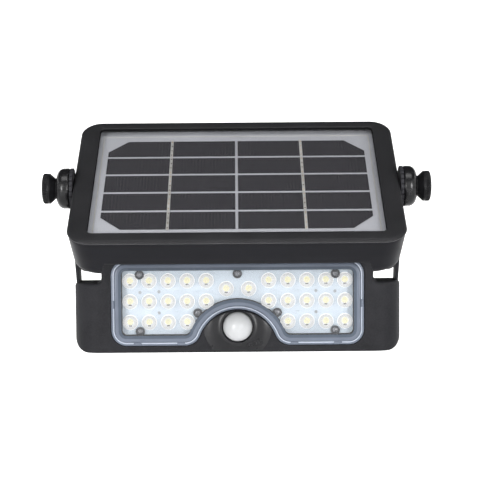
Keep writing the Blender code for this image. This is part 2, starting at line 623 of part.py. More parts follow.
# --- Solar panel --------------------------------------------------------------------------------------
def build_bezel(pivot):
    half_x, half_y = BEZEL_WIDTH / 2, BEZEL_DEPTH / 2
    bezel = plate("panel_bezel", rectangle(half_x, half_y, BEZEL_CORNER, 6), PARTING_Z, BEZEL_TOP,
                  pivot, FLAT, "bezel_black")
    soften(bezel, 2.2, 3, lambda place: place.z > BEZEL_TOP - 0.01)
    inset = SHELL_WALL + 0.8
    join(bezel, plate("bezel_skirt", rectangle(half_x - inset, half_y - inset, BEZEL_CORNER - inset),
                      SKIRT_LOW_Z, PARTING_Z + 0.8, pivot))
    for index, (x, y) in enumerate(SHELL_SCREWS, 1):
        join(bezel, rod(f"bezel_post_{index}", 2.7, -3.7, 5.0, pivot, (x, y, 0), (0, 0, 0), segments=16))
        cut(bezel, rod(f"bezel_pilot_{index}", 1.4, -6, 3.5, pivot, (x, y, 0), (0, 0, 0), segments=12))
    cut(bezel, plate("glass_recess", rectangle(GLASS_HALF_X + 0.4, GLASS_HALF_Y + 0.4, 3.4),
                     GLASS_TOP - 5, GLASS_TOP + 1.0, pivot),
        plate("bezel_window", rectangle(WINDOW_WIDTH / 2, WINDOW_DEPTH / 2, 2.5),
              GLASS_TOP - 5, BEZEL_TOP + 5, pivot))


def build_laminate(pivot):
    half_x, half_y = GLASS_HALF_X, GLASS_HALF_Y
    glass_low = GLASS_TOP - GLASS_THICK
    plate("panel_glass", rectangle(half_x, half_y, 3.0), glass_low, GLASS_TOP, pivot, FLAT, "panel_glass")
    seal = plate("panel_seal", rectangle(half_x - 0.2, half_y - 0.2, 3.0), GLASS_TOP + GAP,
                 GLASS_TOP + 0.7, pivot, FLAT, "rubber")
    cut(seal, plate("seal_middle", rectangle(WINDOW_WIDTH / 2 + 0.3, WINDOW_DEPTH / 2 + 0.3, 2.6),
                    GLASS_TOP - 3, GLASS_TOP + 4, pivot))
    cell_top = glass_low - GAP
    cell_low = cell_top - CELL_THICK
    backing_top = cell_low - GAP
    plate("panel_backing", rectangle(half_x, half_y, 3.0), backing_top - BACKING_THICK, backing_top,
          pivot, FLAT, "white_backing")
    strip_depth = (CELL_AREA_DEPTH - (CELL_ROWS - 1) * ROW_GAP) / CELL_ROWS
    outer_x, inner_x = CELL_AREA_WIDTH / 2, COLUMN_GAP / 2
    for row in range(CELL_ROWS):
        low = -CELL_AREA_DEPTH / 2 + row * (strip_depth + ROW_GAP)
        high = low + strip_depth
        low_cut = CELL_CHAMFER if row == 0 else 0
        high_cut = CELL_CHAMFER if row == CELL_ROWS - 1 else 0
        right = [(inner_x, low), (outer_x - low_cut, low)]
        right += [(outer_x, low + low_cut)] if low_cut else []
        right += [(outer_x, high - high_cut)] if high_cut else []
        right += [(outer_x - high_cut, high), (inner_x, high)]
        left = [(-x, y) for x, y in reversed(right)]
        for end, outline in (("right", right), ("left", left)):
            plate(f"cell_strip_{end}_{row + 1}", outline, cell_low, cell_top, pivot, FLAT, "solar_cell")
    block("junction_block", (-11, 6, backing_top - BACKING_THICK - GAP - 4.5),
          (11, 18, backing_top - BACKING_THICK - GAP), pivot, "shell_black")


def build_panel_shell(pivot):
    top = PARTING_Z - GAP
    half_x, half_y = BEZEL_WIDTH / 2 - 0.4, BEZEL_DEPTH / 2 - 0.4
    section = mirrored([(FOOT_INNER_X - 3.5, SHELL_FLOOR_Z, 2.0), (FOOT_INNER_X, SHELL_FOOT_Z, 1.5),
                        (half_x - 4.6, SHELL_FOOT_Z, 12.0), (half_x, top, 0)])
    shell = plate("panel_shell", rounded(section, 6), -half_y - 1, half_y + 1, pivot, BACKWARDS,
                  "shell_black")
    side = rounded([(-half_y, top, 0), (-half_y + 2.6, -7, 8), (-58.5, SHELL_FOOT_Z, 7),
                    (58.5, SHELL_FOOT_Z, 7), (half_y - 2.6, -7, 8), (half_y, top, 0)])
    keep(shell, plate("shell_side", side, -half_x - 5, half_x + 5, pivot, SIDEWAYS),
         plate("shell_plan", rectangle(half_x, half_y, BEZEL_CORNER, 6), SHELL_FOOT_Z - 5, top + 5, pivot))
    ledge_z = GLASS_TOP - GLASS_THICK - 2 * GAP - CELL_THICK - BACKING_THICK - GAP
    tray = plate("shell_tray", rectangle(half_x - SHELL_WALL, half_y - SHELL_WALL,
                                         BEZEL_CORNER - SHELL_WALL), ledge_z, top + 5, pivot)
    hollow = plate("shell_hollow", rectangle(85.5, 57.5, 6.0), SHELL_FLOOR_Z + 2.0, top + 3, pivot)
    cut(shell, tray, hollow)
    for end, sign in (("right", 1), ("left", -1)):
        turn = TURN_RIGHT if sign > 0 else TURN_LEFT
        low, high = sorted((sign * 82.0, sign * 88.5))
        cut(shell, block(f"foot_hollow_{end}", (low, -38, -19), (high, 38, SHELL_FLOOR_Z + 4), pivot))
        low, high = sorted((sign * 88.0, sign * 95.0))
        join(shell, block(f"nut_boss_{end}", (low, -6.5, -4.0), (high, 6.5, 3.6), pivot))
        cut(shell, rod(f"shell_bore_{end}", STUD_BORE, 84, 105, pivot, (0, 0, 0), turn),
            rod(f"nut_pocket_{end}", 4.35, 84, 93.6, pivot, (0, 0, 0), turn, segments=6))
        nut = rod(f"clamp_nut_{end}", 3.95, 88.6, 93.2, pivot, (0, 0, 0), turn, "brass", 6)
        cut(nut, rod(f"nut_thread_{end}", STUD_BORE, 84, 97, pivot, (0, 0, 0), turn))
    for index, (x, y) in enumerate(SHELL_SCREWS, 1):
        cut(shell, rod(f"post_well_{index}", 3.1, -4.0, top + 3, pivot, (x, y, 0), (0, 0, 0), segments=16),
            rod(f"shell_hole_{index}", 1.5, -12, 0, pivot, (x, y, 0), (0, 0, 0), segments=12),
            rod(f"screw_well_{index}", 3.1, SHELL_FOOT_Z - 3, -8.0, pivot, (x, y, 0), (0, 0, 0),
                segments=16))
        screw_piece(f"shell_screw_{index}", 2.6, 1.4, 1.1, 9.5, pivot, (x, y, -8.3), TURN_DOWN)


# --- Assembly -----------------------------------------------------------------------------------------
def build():
    hinge = (0, -HINGE_REACH, HINGE_HEIGHT)
    bracket = make_pivot("bracket_pivot", None, hinge)
    head = make_pivot("head_pivot", bracket)
    panel = make_pivot("panel_pivot", head, (0, 0, 0), PANEL_TILT)
    button = make_pivot("button_pivot", head, (0, BACK_Y + 1.2, BUTTON_Z))
    build_bracket(bracket)
    for end, turn in (("right", TURN_RIGHT), ("left", TURN_LEFT)):
        build_knob(end, make_pivot(f"knob_{end}_pivot", bracket), turn)
    build_housing(head)
    build_rear_cover(head)
    build_lens(head)
    build_light_engine(head)
    build_motion_sensor(head)
    build_electronics(head)
    build_button(button)
    build_bezel(panel)
    build_laminate(panel)
    build_panel_shell(panel)
    bpy.context.view_layer.update()


clear_scene()
PARTS = new_collection("solar_flood_light")
CUTTERS = new_collection("cutters")
build()
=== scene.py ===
"""Looks of the solar flood light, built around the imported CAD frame.

Pieces are meshed in millimetres, measured from the hinge line, and turned to metres when they are
placed. In the lamp head y grows towards the wall; on the panel z is square to the glass.
"""
import json
import math

import bmesh
import bpy
from mathutils import Matrix, Vector


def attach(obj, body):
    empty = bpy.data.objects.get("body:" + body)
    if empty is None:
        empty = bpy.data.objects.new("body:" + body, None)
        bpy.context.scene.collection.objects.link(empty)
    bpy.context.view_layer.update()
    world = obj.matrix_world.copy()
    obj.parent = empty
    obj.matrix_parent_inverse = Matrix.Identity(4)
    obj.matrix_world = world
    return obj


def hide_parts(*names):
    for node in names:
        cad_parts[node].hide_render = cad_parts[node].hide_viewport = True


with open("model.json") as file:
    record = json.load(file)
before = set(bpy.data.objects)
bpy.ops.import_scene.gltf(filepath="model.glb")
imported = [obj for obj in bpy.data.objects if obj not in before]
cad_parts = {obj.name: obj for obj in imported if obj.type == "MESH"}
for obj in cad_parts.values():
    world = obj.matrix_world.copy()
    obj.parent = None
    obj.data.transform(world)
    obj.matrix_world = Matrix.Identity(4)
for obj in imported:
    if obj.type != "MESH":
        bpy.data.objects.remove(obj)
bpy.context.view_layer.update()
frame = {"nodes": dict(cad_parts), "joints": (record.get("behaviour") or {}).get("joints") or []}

MM = 0.001
HINGE = Vector(next(j["pos_m"] for j in frame["joints"] if j["name"] == "panel_tilt"))
PANEL_TILT = 32.0
HEAD = Matrix.Translation(HINGE) @ Matrix.Diagonal((MM, MM, MM, 1))
PANEL = Matrix.Translation(HINGE) @ Matrix.Rotation(math.radians(PANEL_TILT), 4, "X") \
    @ Matrix.Diagonal((MM, MM, MM, 1))

# --- Sizes, in millimetres ----------------------------------------------------------------------
# Panel: z is measured from the hinge line, square to the glass
BEZEL_HALF = (97.3, 64.6)
SHELL_HALF = (96.9, 64.2)
WINDOW_HALF = (85.25, 55.8)
GLASS_HALF = (87.15, 60.0)
BEZEL_CORNER, WINDOW_CORNER = 13.0, 2.5
SKIRT_INSET, SKIRT_LOW_Z = 3.0, 4.0
GLASS_TOP, GLASS_LOW = 5.0, 3.4
CELL_TOP, CELL_LOW = 3.1, 2.9
BACKING_TOP, BACKING_LOW = 2.6, 1.4
TRAY_LEDGE_Z = 1.1
SHELL_TOP_Z, SHELL_FLOOR_Z, SHELL_FOOT_Z = 4.7, -12.6, -23.7
SHELL_WALL = 2.2
FOOT_INNER_X, FOOT_RAMP = 79.6, 3.5                # where the deep ends begin, and the ramp before
CELL_HALF_X, CELL_HALF_Y = 79.375, 47.2
CELL_ROWS, ROW_GAP, COLUMN_GAP, CELL_CHAMFER = 5, 2.1, 1.6, 12.0
RIBBON_HALF = 0.87
SHELL_SCREWS = ((90.5, 44.0), (-90.5, 44.0), (90.5, -44.0), (-90.5, -44.0))

# Lamp head: y grows towards the wall
FACE_Y, BACK_Y = 10.0, 36.0
HEAD_TOP_Z, STEP_Z, WING_TOP_Z, HEAD_BOTTOM_Z = -26.0, -45.5, -59.0, -102.0
TOP_HALF_X, BODY_HALF_X, WING_HALF_X, WING_ROUND = 78.3, 83.5, 101.3, 17.0
HEAD_WALL = 2.6
BAY_FRONT_Y = 17.4
COVER_REBATE, COVER_INSET = 3.2, 1.2
LENS_HALF_X, LENS_TOP_Z, LENS_BOTTOM_Z, LENS_CORNER = 77.6, -44.4, -97.4, 9.5
ARCH_RADIUS, ARCH_CENTRE_Z, ARCH_FILLET = 24.8, -100.1, 10.0
LENS_FRONT_Y, LENS_HOLLOW_Y, LENS_BACK_Y, LENS_SEAT_Y = 7.0, 8.6, 11.4, 12.4
FLANGE_Y = 9.1                                     # front of the lens flange
WINDOW_INSET = 4.7                                 # where the stepped rim ends
BOARD_INSET = 6.6
BOARD_FRONT_Y, BOARD_BACK_Y = 13.4, 15.0
EMITTER_Y = 12.95
OPTICS_FRONT_Y, OPTICS_BACK_Y = 12.2, 12.7
LED_COLUMNS = (19.2, 31.0, 42.7, 54.4, 66.1)
LED_ROWS = (-57.8, -70.5, -83.3)
LED_CENTRE_PAIR = (6.9, -62.9)
LED_RADIUS, LED_RISE = 4.45, 3.3
BOARD_SCREWS = ((0.0, -53.5), (60.2, -53.8), (-60.2, -53.8), (24.4, -77.6), (-24.4, -77.6),
                (60.0, -88.8), (-60.0, -88.8))
TEST_POINTS = ((60.0, -64.8), (48.3, -64.4), (48.3, -77.5))
RESISTORS = ((36.8, -64.2, 1), (24.6, -64.2, 1), (72.6, -64.2, 0), (36.8, -77.0, 1),
             (66.1, -77.0, 1), (13.0, -56.3, 1), (0.0, -68.0, 1))     # x, z, and 1 if it lies across
COVER_SCREWS = ((73.5, -32.5), (-73.5, -32.5), (89.0, -82.0), (-89.0, -82.0))
SENSOR_Z, DOME_RADIUS, DOME_WALL, DOME_CENTRE_Y = -85.6, 9.05, 0.9, 8.0
SURROUND_RADIUS = 21.0
BUTTON_Z, BUTTON_HOLE = -82.0, 5.35

# Hinge stack and wall bracket
ARM_INNER_X, ARM_OUTER_X = 97.9, 99.9
BRACKET_ARM_INNER_X, BRACKET_ARM_OUTER_X = 101.8, 104.3
BARREL_INNER_X, BARREL_OUTER_X, BARREL_RADIUS = 100.2, 108.0, 12.2
ARM_END_RADIUS = 11.8
BORE = 2.35
PLATE_FRONT_Y, PLATE_BACK_Y = 71.0, 75.0
PLATE_LOW_Z, PLATE_HIGH_Z, PLATE_CORNER = -57.0, 3.0, 6.0
KEYHOLE_X, KEYHOLE_Z, KEYHOLE_TOP_Z = 60.0, -33.0, -19.0
KNOB_FLUTES = 48

# Camera: measured from the hinge, in metres and degrees
CAMERA_PLACE = Vector((0.0009, -0.86535, 0.0295))
CAMERA_PITCH, CAMERA_ROLL = -4.0, -0.45

RIGHT = Matrix.Rotation(math.radians(90), 4, "Y")       # a turned piece's axis along +X
LEFT = Matrix.Rotation(math.radians(-90), 4, "Y")
FRONT = Matrix.Rotation(math.radians(90), 4, "X")       # along -Y
BACK = Matrix.Rotation(math.radians(-90), 4, "X")
DOWN = Matrix.Rotation(math.radians(180), 4, "X")
XZ = Matrix(((1, 0, 0, 0), (0, 0, 1, 0), (0, 1, 0, 0), (0, 0, 0, 1)))    # outline x, z; depth y
YZ = Matrix(((0, 0, 1, 0), (1, 0, 0, 0), (0, 1, 0, 0), (0, 0, 0, 1)))    # outline y, z; depth x
XY = Matrix.Identity(4)


# --- Outlines -------------------------------------------------------------------------------------
def arc(cx, cy, radius, start, end, steps):
    """Points on a circle from one angle to another, in degrees."""
    turn = [math.radians(start + (end - start) * k / steps) for k in range(steps + 1)]
    return [(cx + radius * math.cos(a), cy + radius * math.sin(a)) for a in turn]


def rounded(corners, steps=8):
    """A closed outline from corners (x, y, radius)."""
    points = []
    for k, (x, y, radius) in enumerate(corners):
        here = Vector((x, y))
        to_last = (Vector(corners[k - 1][:2]) - here).normalized()
        to_next = (Vector(corners[(k + 1) % len(corners)][:2]) - here).normalized()
        half = to_last.angle(to_next) / 2
        centre = here + (to_last + to_next).normalized() * radius / math.sin(half)
        first = here + to_last * radius / math.tan(half) - centre
        last = here + to_next * radius / math.tan(half) - centre
        turn = first.angle_signed(last)
        for s in range(steps + 1):
            point = centre + Matrix.Rotation(-turn * s / steps, 2) @ first
            points.append((point.x, point.y))
    return points


def box_outline(half_x, half_y, radius, steps=8):
    """A rectangle about the origin with rounded corners."""
    return rounded([(half_x, -half_y, radius), (half_x, half_y, radius),
                    (-half_x, half_y, radius), (-half_x, -half_y, radius)], steps)


def offset(points, distance):
    """The outline moved inwards by a distance."""
    area = sum(a[0] * b[1] - b[0] * a[1] for a, b in zip(points, points[1:] + points[:1]))
    side = 1 if area > 0 else -1
    moved = []
    for k, point in enumerate(points):
        here = Vector(point)
        before = (here - Vector(points[k - 1])).normalized()
        after = (Vector(points[(k + 1) % len(points)]) - here).normalized()
        normal = Vector((-(before.y + after.y), before.x + after.x)).normalized() * side
        reach = max(normal.dot(Vector((-before.y, before.x)) * side), 0.4)
        moved.append(tuple(here + normal * distance / reach))
    return moved


def head_outline(inset=0.0, steps=8):
    """Front view of the lamp head: upper body, lower body and the two wings."""
    wing, wing_top, body = WING_HALF_X - inset, WING_TOP_Z - inset, BODY_HALF_X - inset
    top, step, head_top = TOP_HALF_X - inset, STEP_Z - inset, HEAD_TOP_Z - inset
    right = [(wing, HEAD_BOTTOM_Z + inset, 9.2 - inset), (wing, wing_top, 3.0 - min(inset, 2.0)),
             (body, wing_top, 3.5), (body, step, 1.0), (top, step, 1.0),
             (top, head_top, 4.0 - min(inset, 2.0))]
    return rounded(right + [(-x, z, r) for x, z, r in reversed(right)], steps)


def lens_outline(inset=0.0, steps=10):
    """Front view of the lens: a rounded rectangle with an arch over the motion sensor."""
    half, corner = LENS_HALF_X - inset, LENS_CORNER - inset
    low, top = LENS_BOTTOM_Z + inset, LENS_TOP_Z - inset
    fillet_z = LENS_BOTTOM_Z + ARCH_FILLET
    fillet_x = math.sqrt((ARCH_RADIUS + ARCH_FILLET) ** 2 - (fillet_z - ARCH_CENTRE_Z) ** 2)
    meet = math.degrees(math.atan2(fillet_z - ARCH_CENTRE_Z, fillet_x))
    right = arc(0, ARCH_CENTRE_Z, ARCH_RADIUS + inset, 90, meet, 24)
    right += arc(fillet_x, fillet_z, ARCH_FILLET - inset, 180 + meet, 270, steps)
    right += arc(half - corner, low + corner, corner, -90, 0, steps)
    right += arc(half - corner, top - corner, corner, 0, 90, steps)
    return right + [(-x, z) for x, z in reversed(right[1:])]


# --- Meshes ---------------------------------------------------------------------------------------
def loft(loops, caps=True, closed=False):
    """Skin over loops with the same number of points, as a bmesh."""
    shape = bmesh.new()
    rings = [[shape.verts.new(point) for point in loop] for loop in loops]
    count = len(rings[0])
    for first, second in list(zip(rings, rings[1:])) + ([(rings[-1], rings[0])] if closed else []):
        for k in range(count):
            n = (k + 1) % count
            shape.faces.new((first[k], first[n], second[n], second[k]))
    if caps:
        shape.faces.new(list(reversed(rings[0])))
        shape.faces.new(rings[-1])
    bmesh.ops.remove_doubles(shape, verts=shape.verts, dist=1e-4)
    bmesh.ops.recalc_face_normals(shape, faces=shape.faces)
    return shape


def stack(levels, turn=XY):
    """Loft over (outline, depth) levels."""
    return loft([[turn @ Vector((x, y, depth)) for x, y in outline] for outline, depth in levels])


def slab(outline, low, high, turn=XY, edge=0.0, steps=3):
    """An outline with a thickness and rounded edges."""
    if edge <= 0:
        return stack([(outline, low), (outline, high)], turn)
    levels = []
    for s in range(steps + 1):
        a = math.radians(90 * s / steps)
        levels.append((offset(outline, edge * (1 - math.sin(a))), low + edge * (1 - math.cos(a))))
    levels += [(loop, high - (depth - low)) for loop, depth in reversed(levels)]
    return stack(levels, turn)


def turned(profile, turn, centre=(0, 0, 0), steps=64, closed=False, wave=None):
    """A turned piece from (radius, height) points; wave(angle, k) adds to the radius at point k."""
    move = Matrix.Translation(centre) @ turn
    loops = []
    for k, (radius, height) in enumerate(profile):
        loop = []
        for s in range(steps):
            a = 2 * math.pi * s / steps
            r = radius + (wave(a, k) if wave else 0.0)
            loop.append(move @ Vector((r * math.cos(a), r * math.sin(a), height)))
        loops.append(loop)
    return loft(loops, caps=not closed and profile[0][0] > 0, closed=closed)


def block(low, high, edge=0.0):
    middle = [(a + b) / 2 for a, b in zip(low, high)]
    half = [(b - a) / 2 for a, b in zip(low, high)]
    outline = box_outline(half[0], half[1], max(edge * 1.4, 0.05), 3)
    shape = slab(outline, -half[2], half[2], XY, edge)
    bmesh.ops.translate(shape, vec=middle, verts=shape.verts)
    return shape


def pipe(radius, low, high, turn, centre=(0, 0, 0), steps=48):
    return turned([(radius, low), (radius, high)], turn, centre, steps)


def merge(*shapes, keep=None):
    """Loose meshes in one, or added to one that is kept; each may come with a material index."""
    whole = keep or bmesh.new()
    for entry in shapes:
        shape, index = entry if isinstance(entry, tuple) else (entry, 0)
        for face in shape.faces:
            face.material_index = index
        mesh = bpy.data.meshes.new("part")
        shape.to_mesh(mesh)
        whole.from_mesh(mesh)
        bpy.data.meshes.remove(mesh)
        shape.free()
    return whole


def holder(shape):
    mesh = bpy.data.meshes.new("work")
    shape.to_mesh(mesh)
    shape.free()
    thing = bpy.data.objects.new("work", mesh)
    bpy.context.scene.collection.objects.link(thing)
    return thing


def combine(base, joins=(), cuts=(), bevel=0.0, angle=35, segments=2):
    """Solid union and difference, with the edges rounded afterwards."""
    work = [holder(base)]
    for operation, tools in (("UNION", joins), ("DIFFERENCE", cuts)):
        for tool in tools:
            work.append(holder(tool))
            modifier = work[0].modifiers.new("join", "BOOLEAN")
            modifier.operation = operation
            modifier.solver = "EXACT"
            modifier.object = work[-1]
    if bevel:
        weld = work[0].modifiers.new("weld", "WELD")
        weld.merge_threshold = 0.002
        edge = work[0].modifiers.new("edge", "BEVEL")
        edge.width = bevel
        edge.segments = segments
        edge.limit_method = "ANGLE"
        edge.angle_limit = math.radians(angle)
        edge.use_clamp_overlap = True
    bpy.context.view_layer.update()
    mesh = bpy.data.meshes.new_from_object(
        work[0].evaluated_get(bpy.context.evaluated_depsgraph_get()))
    shape = bmesh.new()
    shape.from_mesh(mesh)
    bpy.data.meshes.remove(mesh)
    for thing in work:
        bpy.data.objects.remove(thing, do_unlink=True)
    return shape


def piece(name, shape, body, nodes, materials, place=HEAD, crease=32):
    """Places a mesh as a named piece that rides on a body and stands for its CAD nodes."""
    mesh = bpy.data.meshes.new(name)
    shape.to_mesh(mesh)
    shape.free()
    mesh.transform(place)
    mesh.shade_smooth()
    mesh.set_sharp_from_angle(angle=math.radians(crease))
    thing = bpy.data.objects.new(name, mesh)
    bpy.context.scene.collection.objects.link(thing)
    for material in (materials if isinstance(materials, (list, tuple)) else [materials]):
        mesh.materials.append(material)
    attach(thing, body)
    if nodes:
        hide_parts(*nodes)
    return thing


# --- Materials ------------------------------------------------------------------------------------
class Finish:
    """A Principled material whose colour, roughness and bump come from noise in object space."""

    def __init__(self, name, **sockets):
        self.material = bpy.data.materials.new(name)
        self.material.use_nodes = True
        self.tree = self.material.node_tree
        self.shader = self.tree.nodes["Principled BSDF"]
        self.coordinates = self.node("ShaderNodeTexCoord").outputs["Object"]
        for key, value in sockets.items():
            self.shader.inputs[key.replace("_", " ")].default_value = value

    def node(self, kind, **settings):
        node = self.tree.nodes.new(kind)
        for key, value in settings.items():
            setattr(node, key, value)
        return node

    def link(self, source, target):
        self.tree.links.new(source, target)

    def noise(self, scale, detail=3.0, rough=0.5, stretch=None):
        """Noise with features about 1/scale metres wide."""
        source = self.coordinates
        if stretch:
            mapping = self.node("ShaderNodeMapping")
            mapping.inputs["Scale"].default_value = stretch
            self.link(source, mapping.inputs["Vector"])
            source = mapping.outputs["Vector"]
        node = self.node("ShaderNodeTexNoise")
        node.inputs["Scale"].default_value = scale
        node.inputs["Detail"].default_value = detail
        node.inputs["Roughness"].default_value = rough
        self.link(source, node.inputs["Vector"])
        return node.outputs["Fac"]

    def ramp(self, source, stops):
        node = self.node("ShaderNodeValToRGB")
        while len(node.color_ramp.elements) < len(stops):
            node.color_ramp.elements.new(0.5)
        for element, (place, colour) in zip(node.color_ramp.elements, stops):
            element.position = place
            element.color = (*colour, 1.0)
        self.link(source, node.inputs["Fac"])
        return node.outputs["Color"]

    def span(self, source, low, high, start=0.3, end=0.7):
        node = self.node("ShaderNodeMapRange")
        node.inputs["From Min"].default_value = start
        node.inputs["From Max"].default_value = end
        node.inputs["To Min"].default_value = low
        node.inputs["To Max"].default_value = high
        self.link(source, node.inputs["Value"])
        return node.outputs["Result"]

    def mix(self, factor, first, second):
        node = self.node("ShaderNodeMix", data_type="RGBA")
        self.link(factor, node.inputs["Factor"])
        for value, target in ((first, node.inputs["A"]), (second, node.inputs["B"])):
            if isinstance(value, tuple):
                target.default_value = (*value, 1.0)
            else:
                self.link(value, target)
        return node.outputs["Result"]

    def bump(self, source, strength, distance):
        node = self.node("ShaderNodeBump")
        node.inputs["Strength"].default_value = strength
        node.inputs["Distance"].default_value = distance
        self.link(source, node.inputs["Height"])
        self.link(node.outputs["Normal"], self.shader.inputs["Normal"])

    def colour(self, source):
        self.link(source, self.shader.inputs["Base Color"])
        return self

    def roughness(self, source):
        self.link(source, self.shader.inputs["Roughness"])
        return self


def shade(colour, factor):
    return tuple(min(max(c * factor, 0.0), 1.0) for c in colour)


def plastic(name, colour, rough, *grain, **settings):
    """Dark moulded plastic: as surface, with a duller sheen."""
    return surface(name, colour, rough, *grain, **{"Specular_IOR_Level": 0.32, **settings})


def surface(name, colour, rough, grain=1800.0, bump=0.15, depth=0.00004, mottle=0.15, blotch=45.0,
            wear=0.0, spread=0.08, stretch=None, **sockets):
    """Moulded plastic, rubber, metal or card: fine grain, slow blotches and paler worn edges."""
    finish = Finish(name, **sockets)
    slow = finish.noise(blotch, 4.0, 0.6)
    fine = finish.noise(grain, 2.0, 0.6, stretch)
    base = finish.ramp(slow, [(0.3, shade(colour, 1 - mottle)), (0.7, shade(colour, 1 + mottle))])
    base = finish.mix(finish.span(fine, 0.0, 0.35), base, shade(colour, 1 + 2.2 * mottle))
    if wear:
        edges = finish.node("ShaderNodeNewGeometry").outputs["Pointiness"]
        base = finish.mix(finish.span(edges, 0.0, wear, 0.53, 0.60), base, shade(colour, 3.2))
    finish.colour(base)
    finish.roughness(finish.span(slow, rough - spread, rough + spread))
    if bump:
        finish.bump(fine, bump, depth)
    return finish.material


def make_materials():
    return {
        "bezel": plastic("bezel_moulding", (0.026, 0.026, 0.028), 0.46, 1500, 0.22, wear=0.25,
                         Specular_IOR_Level=0.16),
        # Near-black painted shade for the lip's inner wall and the glass recess, which lie in shadow
        "painted_shade_wall": plastic("bezel_painted_shade", (0.004, 0.004, 0.005), 0.60, 1500, 0.22,
                          Specular_IOR_Level=0.08),
        "shell": plastic("shell_moulding", (0.011, 0.011, 0.014), 0.42, 1500, 0.18, wear=0.25,
                         Specular_IOR_Level=0.16),
        # Pale painted highlight for the shell's top ledge: the glint along the parting line
        "ledge_highlight": plastic("shell_ledge_painted_highlight", (0.13, 0.13, 0.135), 0.40, 1500, 0.2),
        "head": plastic("head_moulding", (0.024, 0.024, 0.027), 0.56, 1100, 0.45, 0.00007, 0.30,
                        wear=0.25, Specular_IOR_Level=0.12),
        "bracket": plastic("bracket_moulding", (0.009, 0.009, 0.010), 0.24, 1500, 0.12, wear=0.3,
                           Specular_IOR_Level=0.55, spread=0.04),
        "knob": plastic("knob_moulding", (0.008, 0.008, 0.009), 0.36, 1600, 0.15, wear=0.3,
                        Specular_IOR_Level=0.22),
        "surround": plastic("surround_moulding", (0.013, 0.013, 0.015), 0.30, 1400, 0.20, wear=0.2,
                            Specular_IOR_Level=0.45),
        "rubber": surface("seal_rubber", (0.020, 0.020, 0.020), 0.80, 900, 0.3, mottle=0.2),
        "steel": surface("turned_steel", (0.52, 0.52, 0.54), 0.32, 700, 0.15, mottle=0.12,
                         stretch=(1, 1, 12), Metallic=1.0),
        "screw": surface("screw_steel", (0.20, 0.20, 0.215), 0.38, 700, 0.2, mottle=0.25, wear=0.4,
                         Metallic=1.0),
        "brass": surface("nut_brass", (0.66, 0.47, 0.18), 0.30, 700, 0.15, Metallic=1.0),
        # Board, reflector cups and phosphor carry a painted glow: emission that brightens them in place of
        # the light falling on them
        "white_board": surface("board_white", (0.66, 0.75, 0.84), 0.42, 500, 0.05, mottle=0.05,
                               Emission_Color=(0.80, 0.91, 1.0, 1.0), Emission_Strength=0.07),
        "cup": surface("led_cup_painted_glow", (0.95, 0.955, 0.96), 0.35, 500, 0.0, mottle=0.02,
                       Emission_Color=(0.98, 0.99, 1.0, 1.0), Emission_Strength=0.62),
        "phosphor": surface("led_phosphor_painted_glow", (0.95, 0.88, 0.36), 0.45, 2500, 0.2, mottle=0.06,
                            Emission_Color=(1.0, 0.94, 0.56, 1.0), Emission_Strength=0.80),
        # Near-black painted shade: the ring round each board screw stands for the shadowed gap of its hole,
        # and the mark below each chip for the shade under it
        "washer": surface("painted_shade_black", (0.030, 0.031, 0.035), 0.45, 900, 0.2, mottle=0.15),
        "pad": surface("solder_pad", (0.42, 0.44, 0.47), 0.35, 1200, 0.2, mottle=0.2, Metallic=0.6),
        "green_board": surface("board_green", (0.02, 0.13, 0.06), 0.40, 600, 0.1, mottle=0.2),
        "black": surface("carrier_plastic", (0.022, 0.022, 0.023), 0.50, 1300, 0.2),
        "sleeve": surface("battery_sleeve", (0.04, 0.20, 0.42), 0.30, 400, 0.1, mottle=0.1),
        "lead": surface("lead_sleeve", (0.42, 0.03, 0.02), 0.45, 900, 0.2),
        "backing": surface("backing_sheet", (0.56, 0.57, 0.61), 0.50, 900, 0.1, mottle=0.05),
        "ribbon": surface("cell_ribbon", (0.62, 0.61, 0.58), 0.42, 260, 0.25, 0.00003, 0.22,
                          stretch=(1, 4, 1), Metallic=0.35),
        "cell": make_cell(),
        "glass": make_clear("panel_glass", (0.34, 0.35, 0.38), 0.10, 0.05),
        "window": make_clear("lens_window", (0.86, 0.90, 0.95), 0.10, 0.05),
        "rim": make_clear("lens_rim", (0.19, 0.22, 0.28), 0.22, 0.88),
        # Pale, faintly glowing painted highlight for the rounded step of the lens rim
        "edge": make_clear("lens_edge_painted_highlight", (0.50, 0.55, 0.64), 0.18, 0.95,
                           Emission_Color=(0.82, 0.88, 1.0, 1.0), Emission_Strength=0.13),
        # Dark tinted band: painted shade for the shadowed pocket seen through the window's edge
        "band": make_clear("lens_painted_shade_band", (0.10, 0.125, 0.165), 0.25, 0.92),
        "optics": make_clear("led_optics", (0.92, 0.93, 0.95), 0.12, 0.025),
        "led_dome": make_clear("led_dome", (0.96, 0.96, 0.965), 0.14, 0.24),
        "dome": make_dome(),
    }


def make_clear(name, colour, rough, alpha, **sockets):
    """Clear or tinted plastic: a see-through share in front of a glossy tinted body."""
    finish = Finish(name, IOR=1.49, **sockets)
    slow = finish.noise(60.0, 3.0)
    finish.colour(finish.ramp(slow, [(0.3, shade(colour, 0.94)), (0.7, shade(colour, 1.06))]))
    finish.roughness(finish.span(slow, rough - 0.03, rough + 0.03))
    clear = finish.node("ShaderNodeBsdfTransparent")
    gloss = finish.node("ShaderNodeMixShader")
    gloss.inputs["Fac"].default_value = alpha
    finish.link(clear.outputs["BSDF"], gloss.inputs[1])
    finish.link(finish.shader.outputs["BSDF"], gloss.inputs[2])
    finish.link(gloss.outputs["Shader"], finish.tree.nodes["Material Output"].inputs["Surface"])
    return finish.material


def make_dome():
    finish = Finish("milky_dome", Subsurface_Weight=0.35, Subsurface_Scale=0.002)
    finish.shader.inputs["Subsurface Radius"].default_value = (1.0, 1.0, 1.0)
    slow = finish.noise(160.0, 3.0)
    finish.colour(finish.ramp(slow, [(0.3, (0.64, 0.65, 0.66)), (0.7, (0.70, 0.71, 0.72))]))
    finish.roughness(finish.span(slow, 0.17, 0.21))
    return finish.material


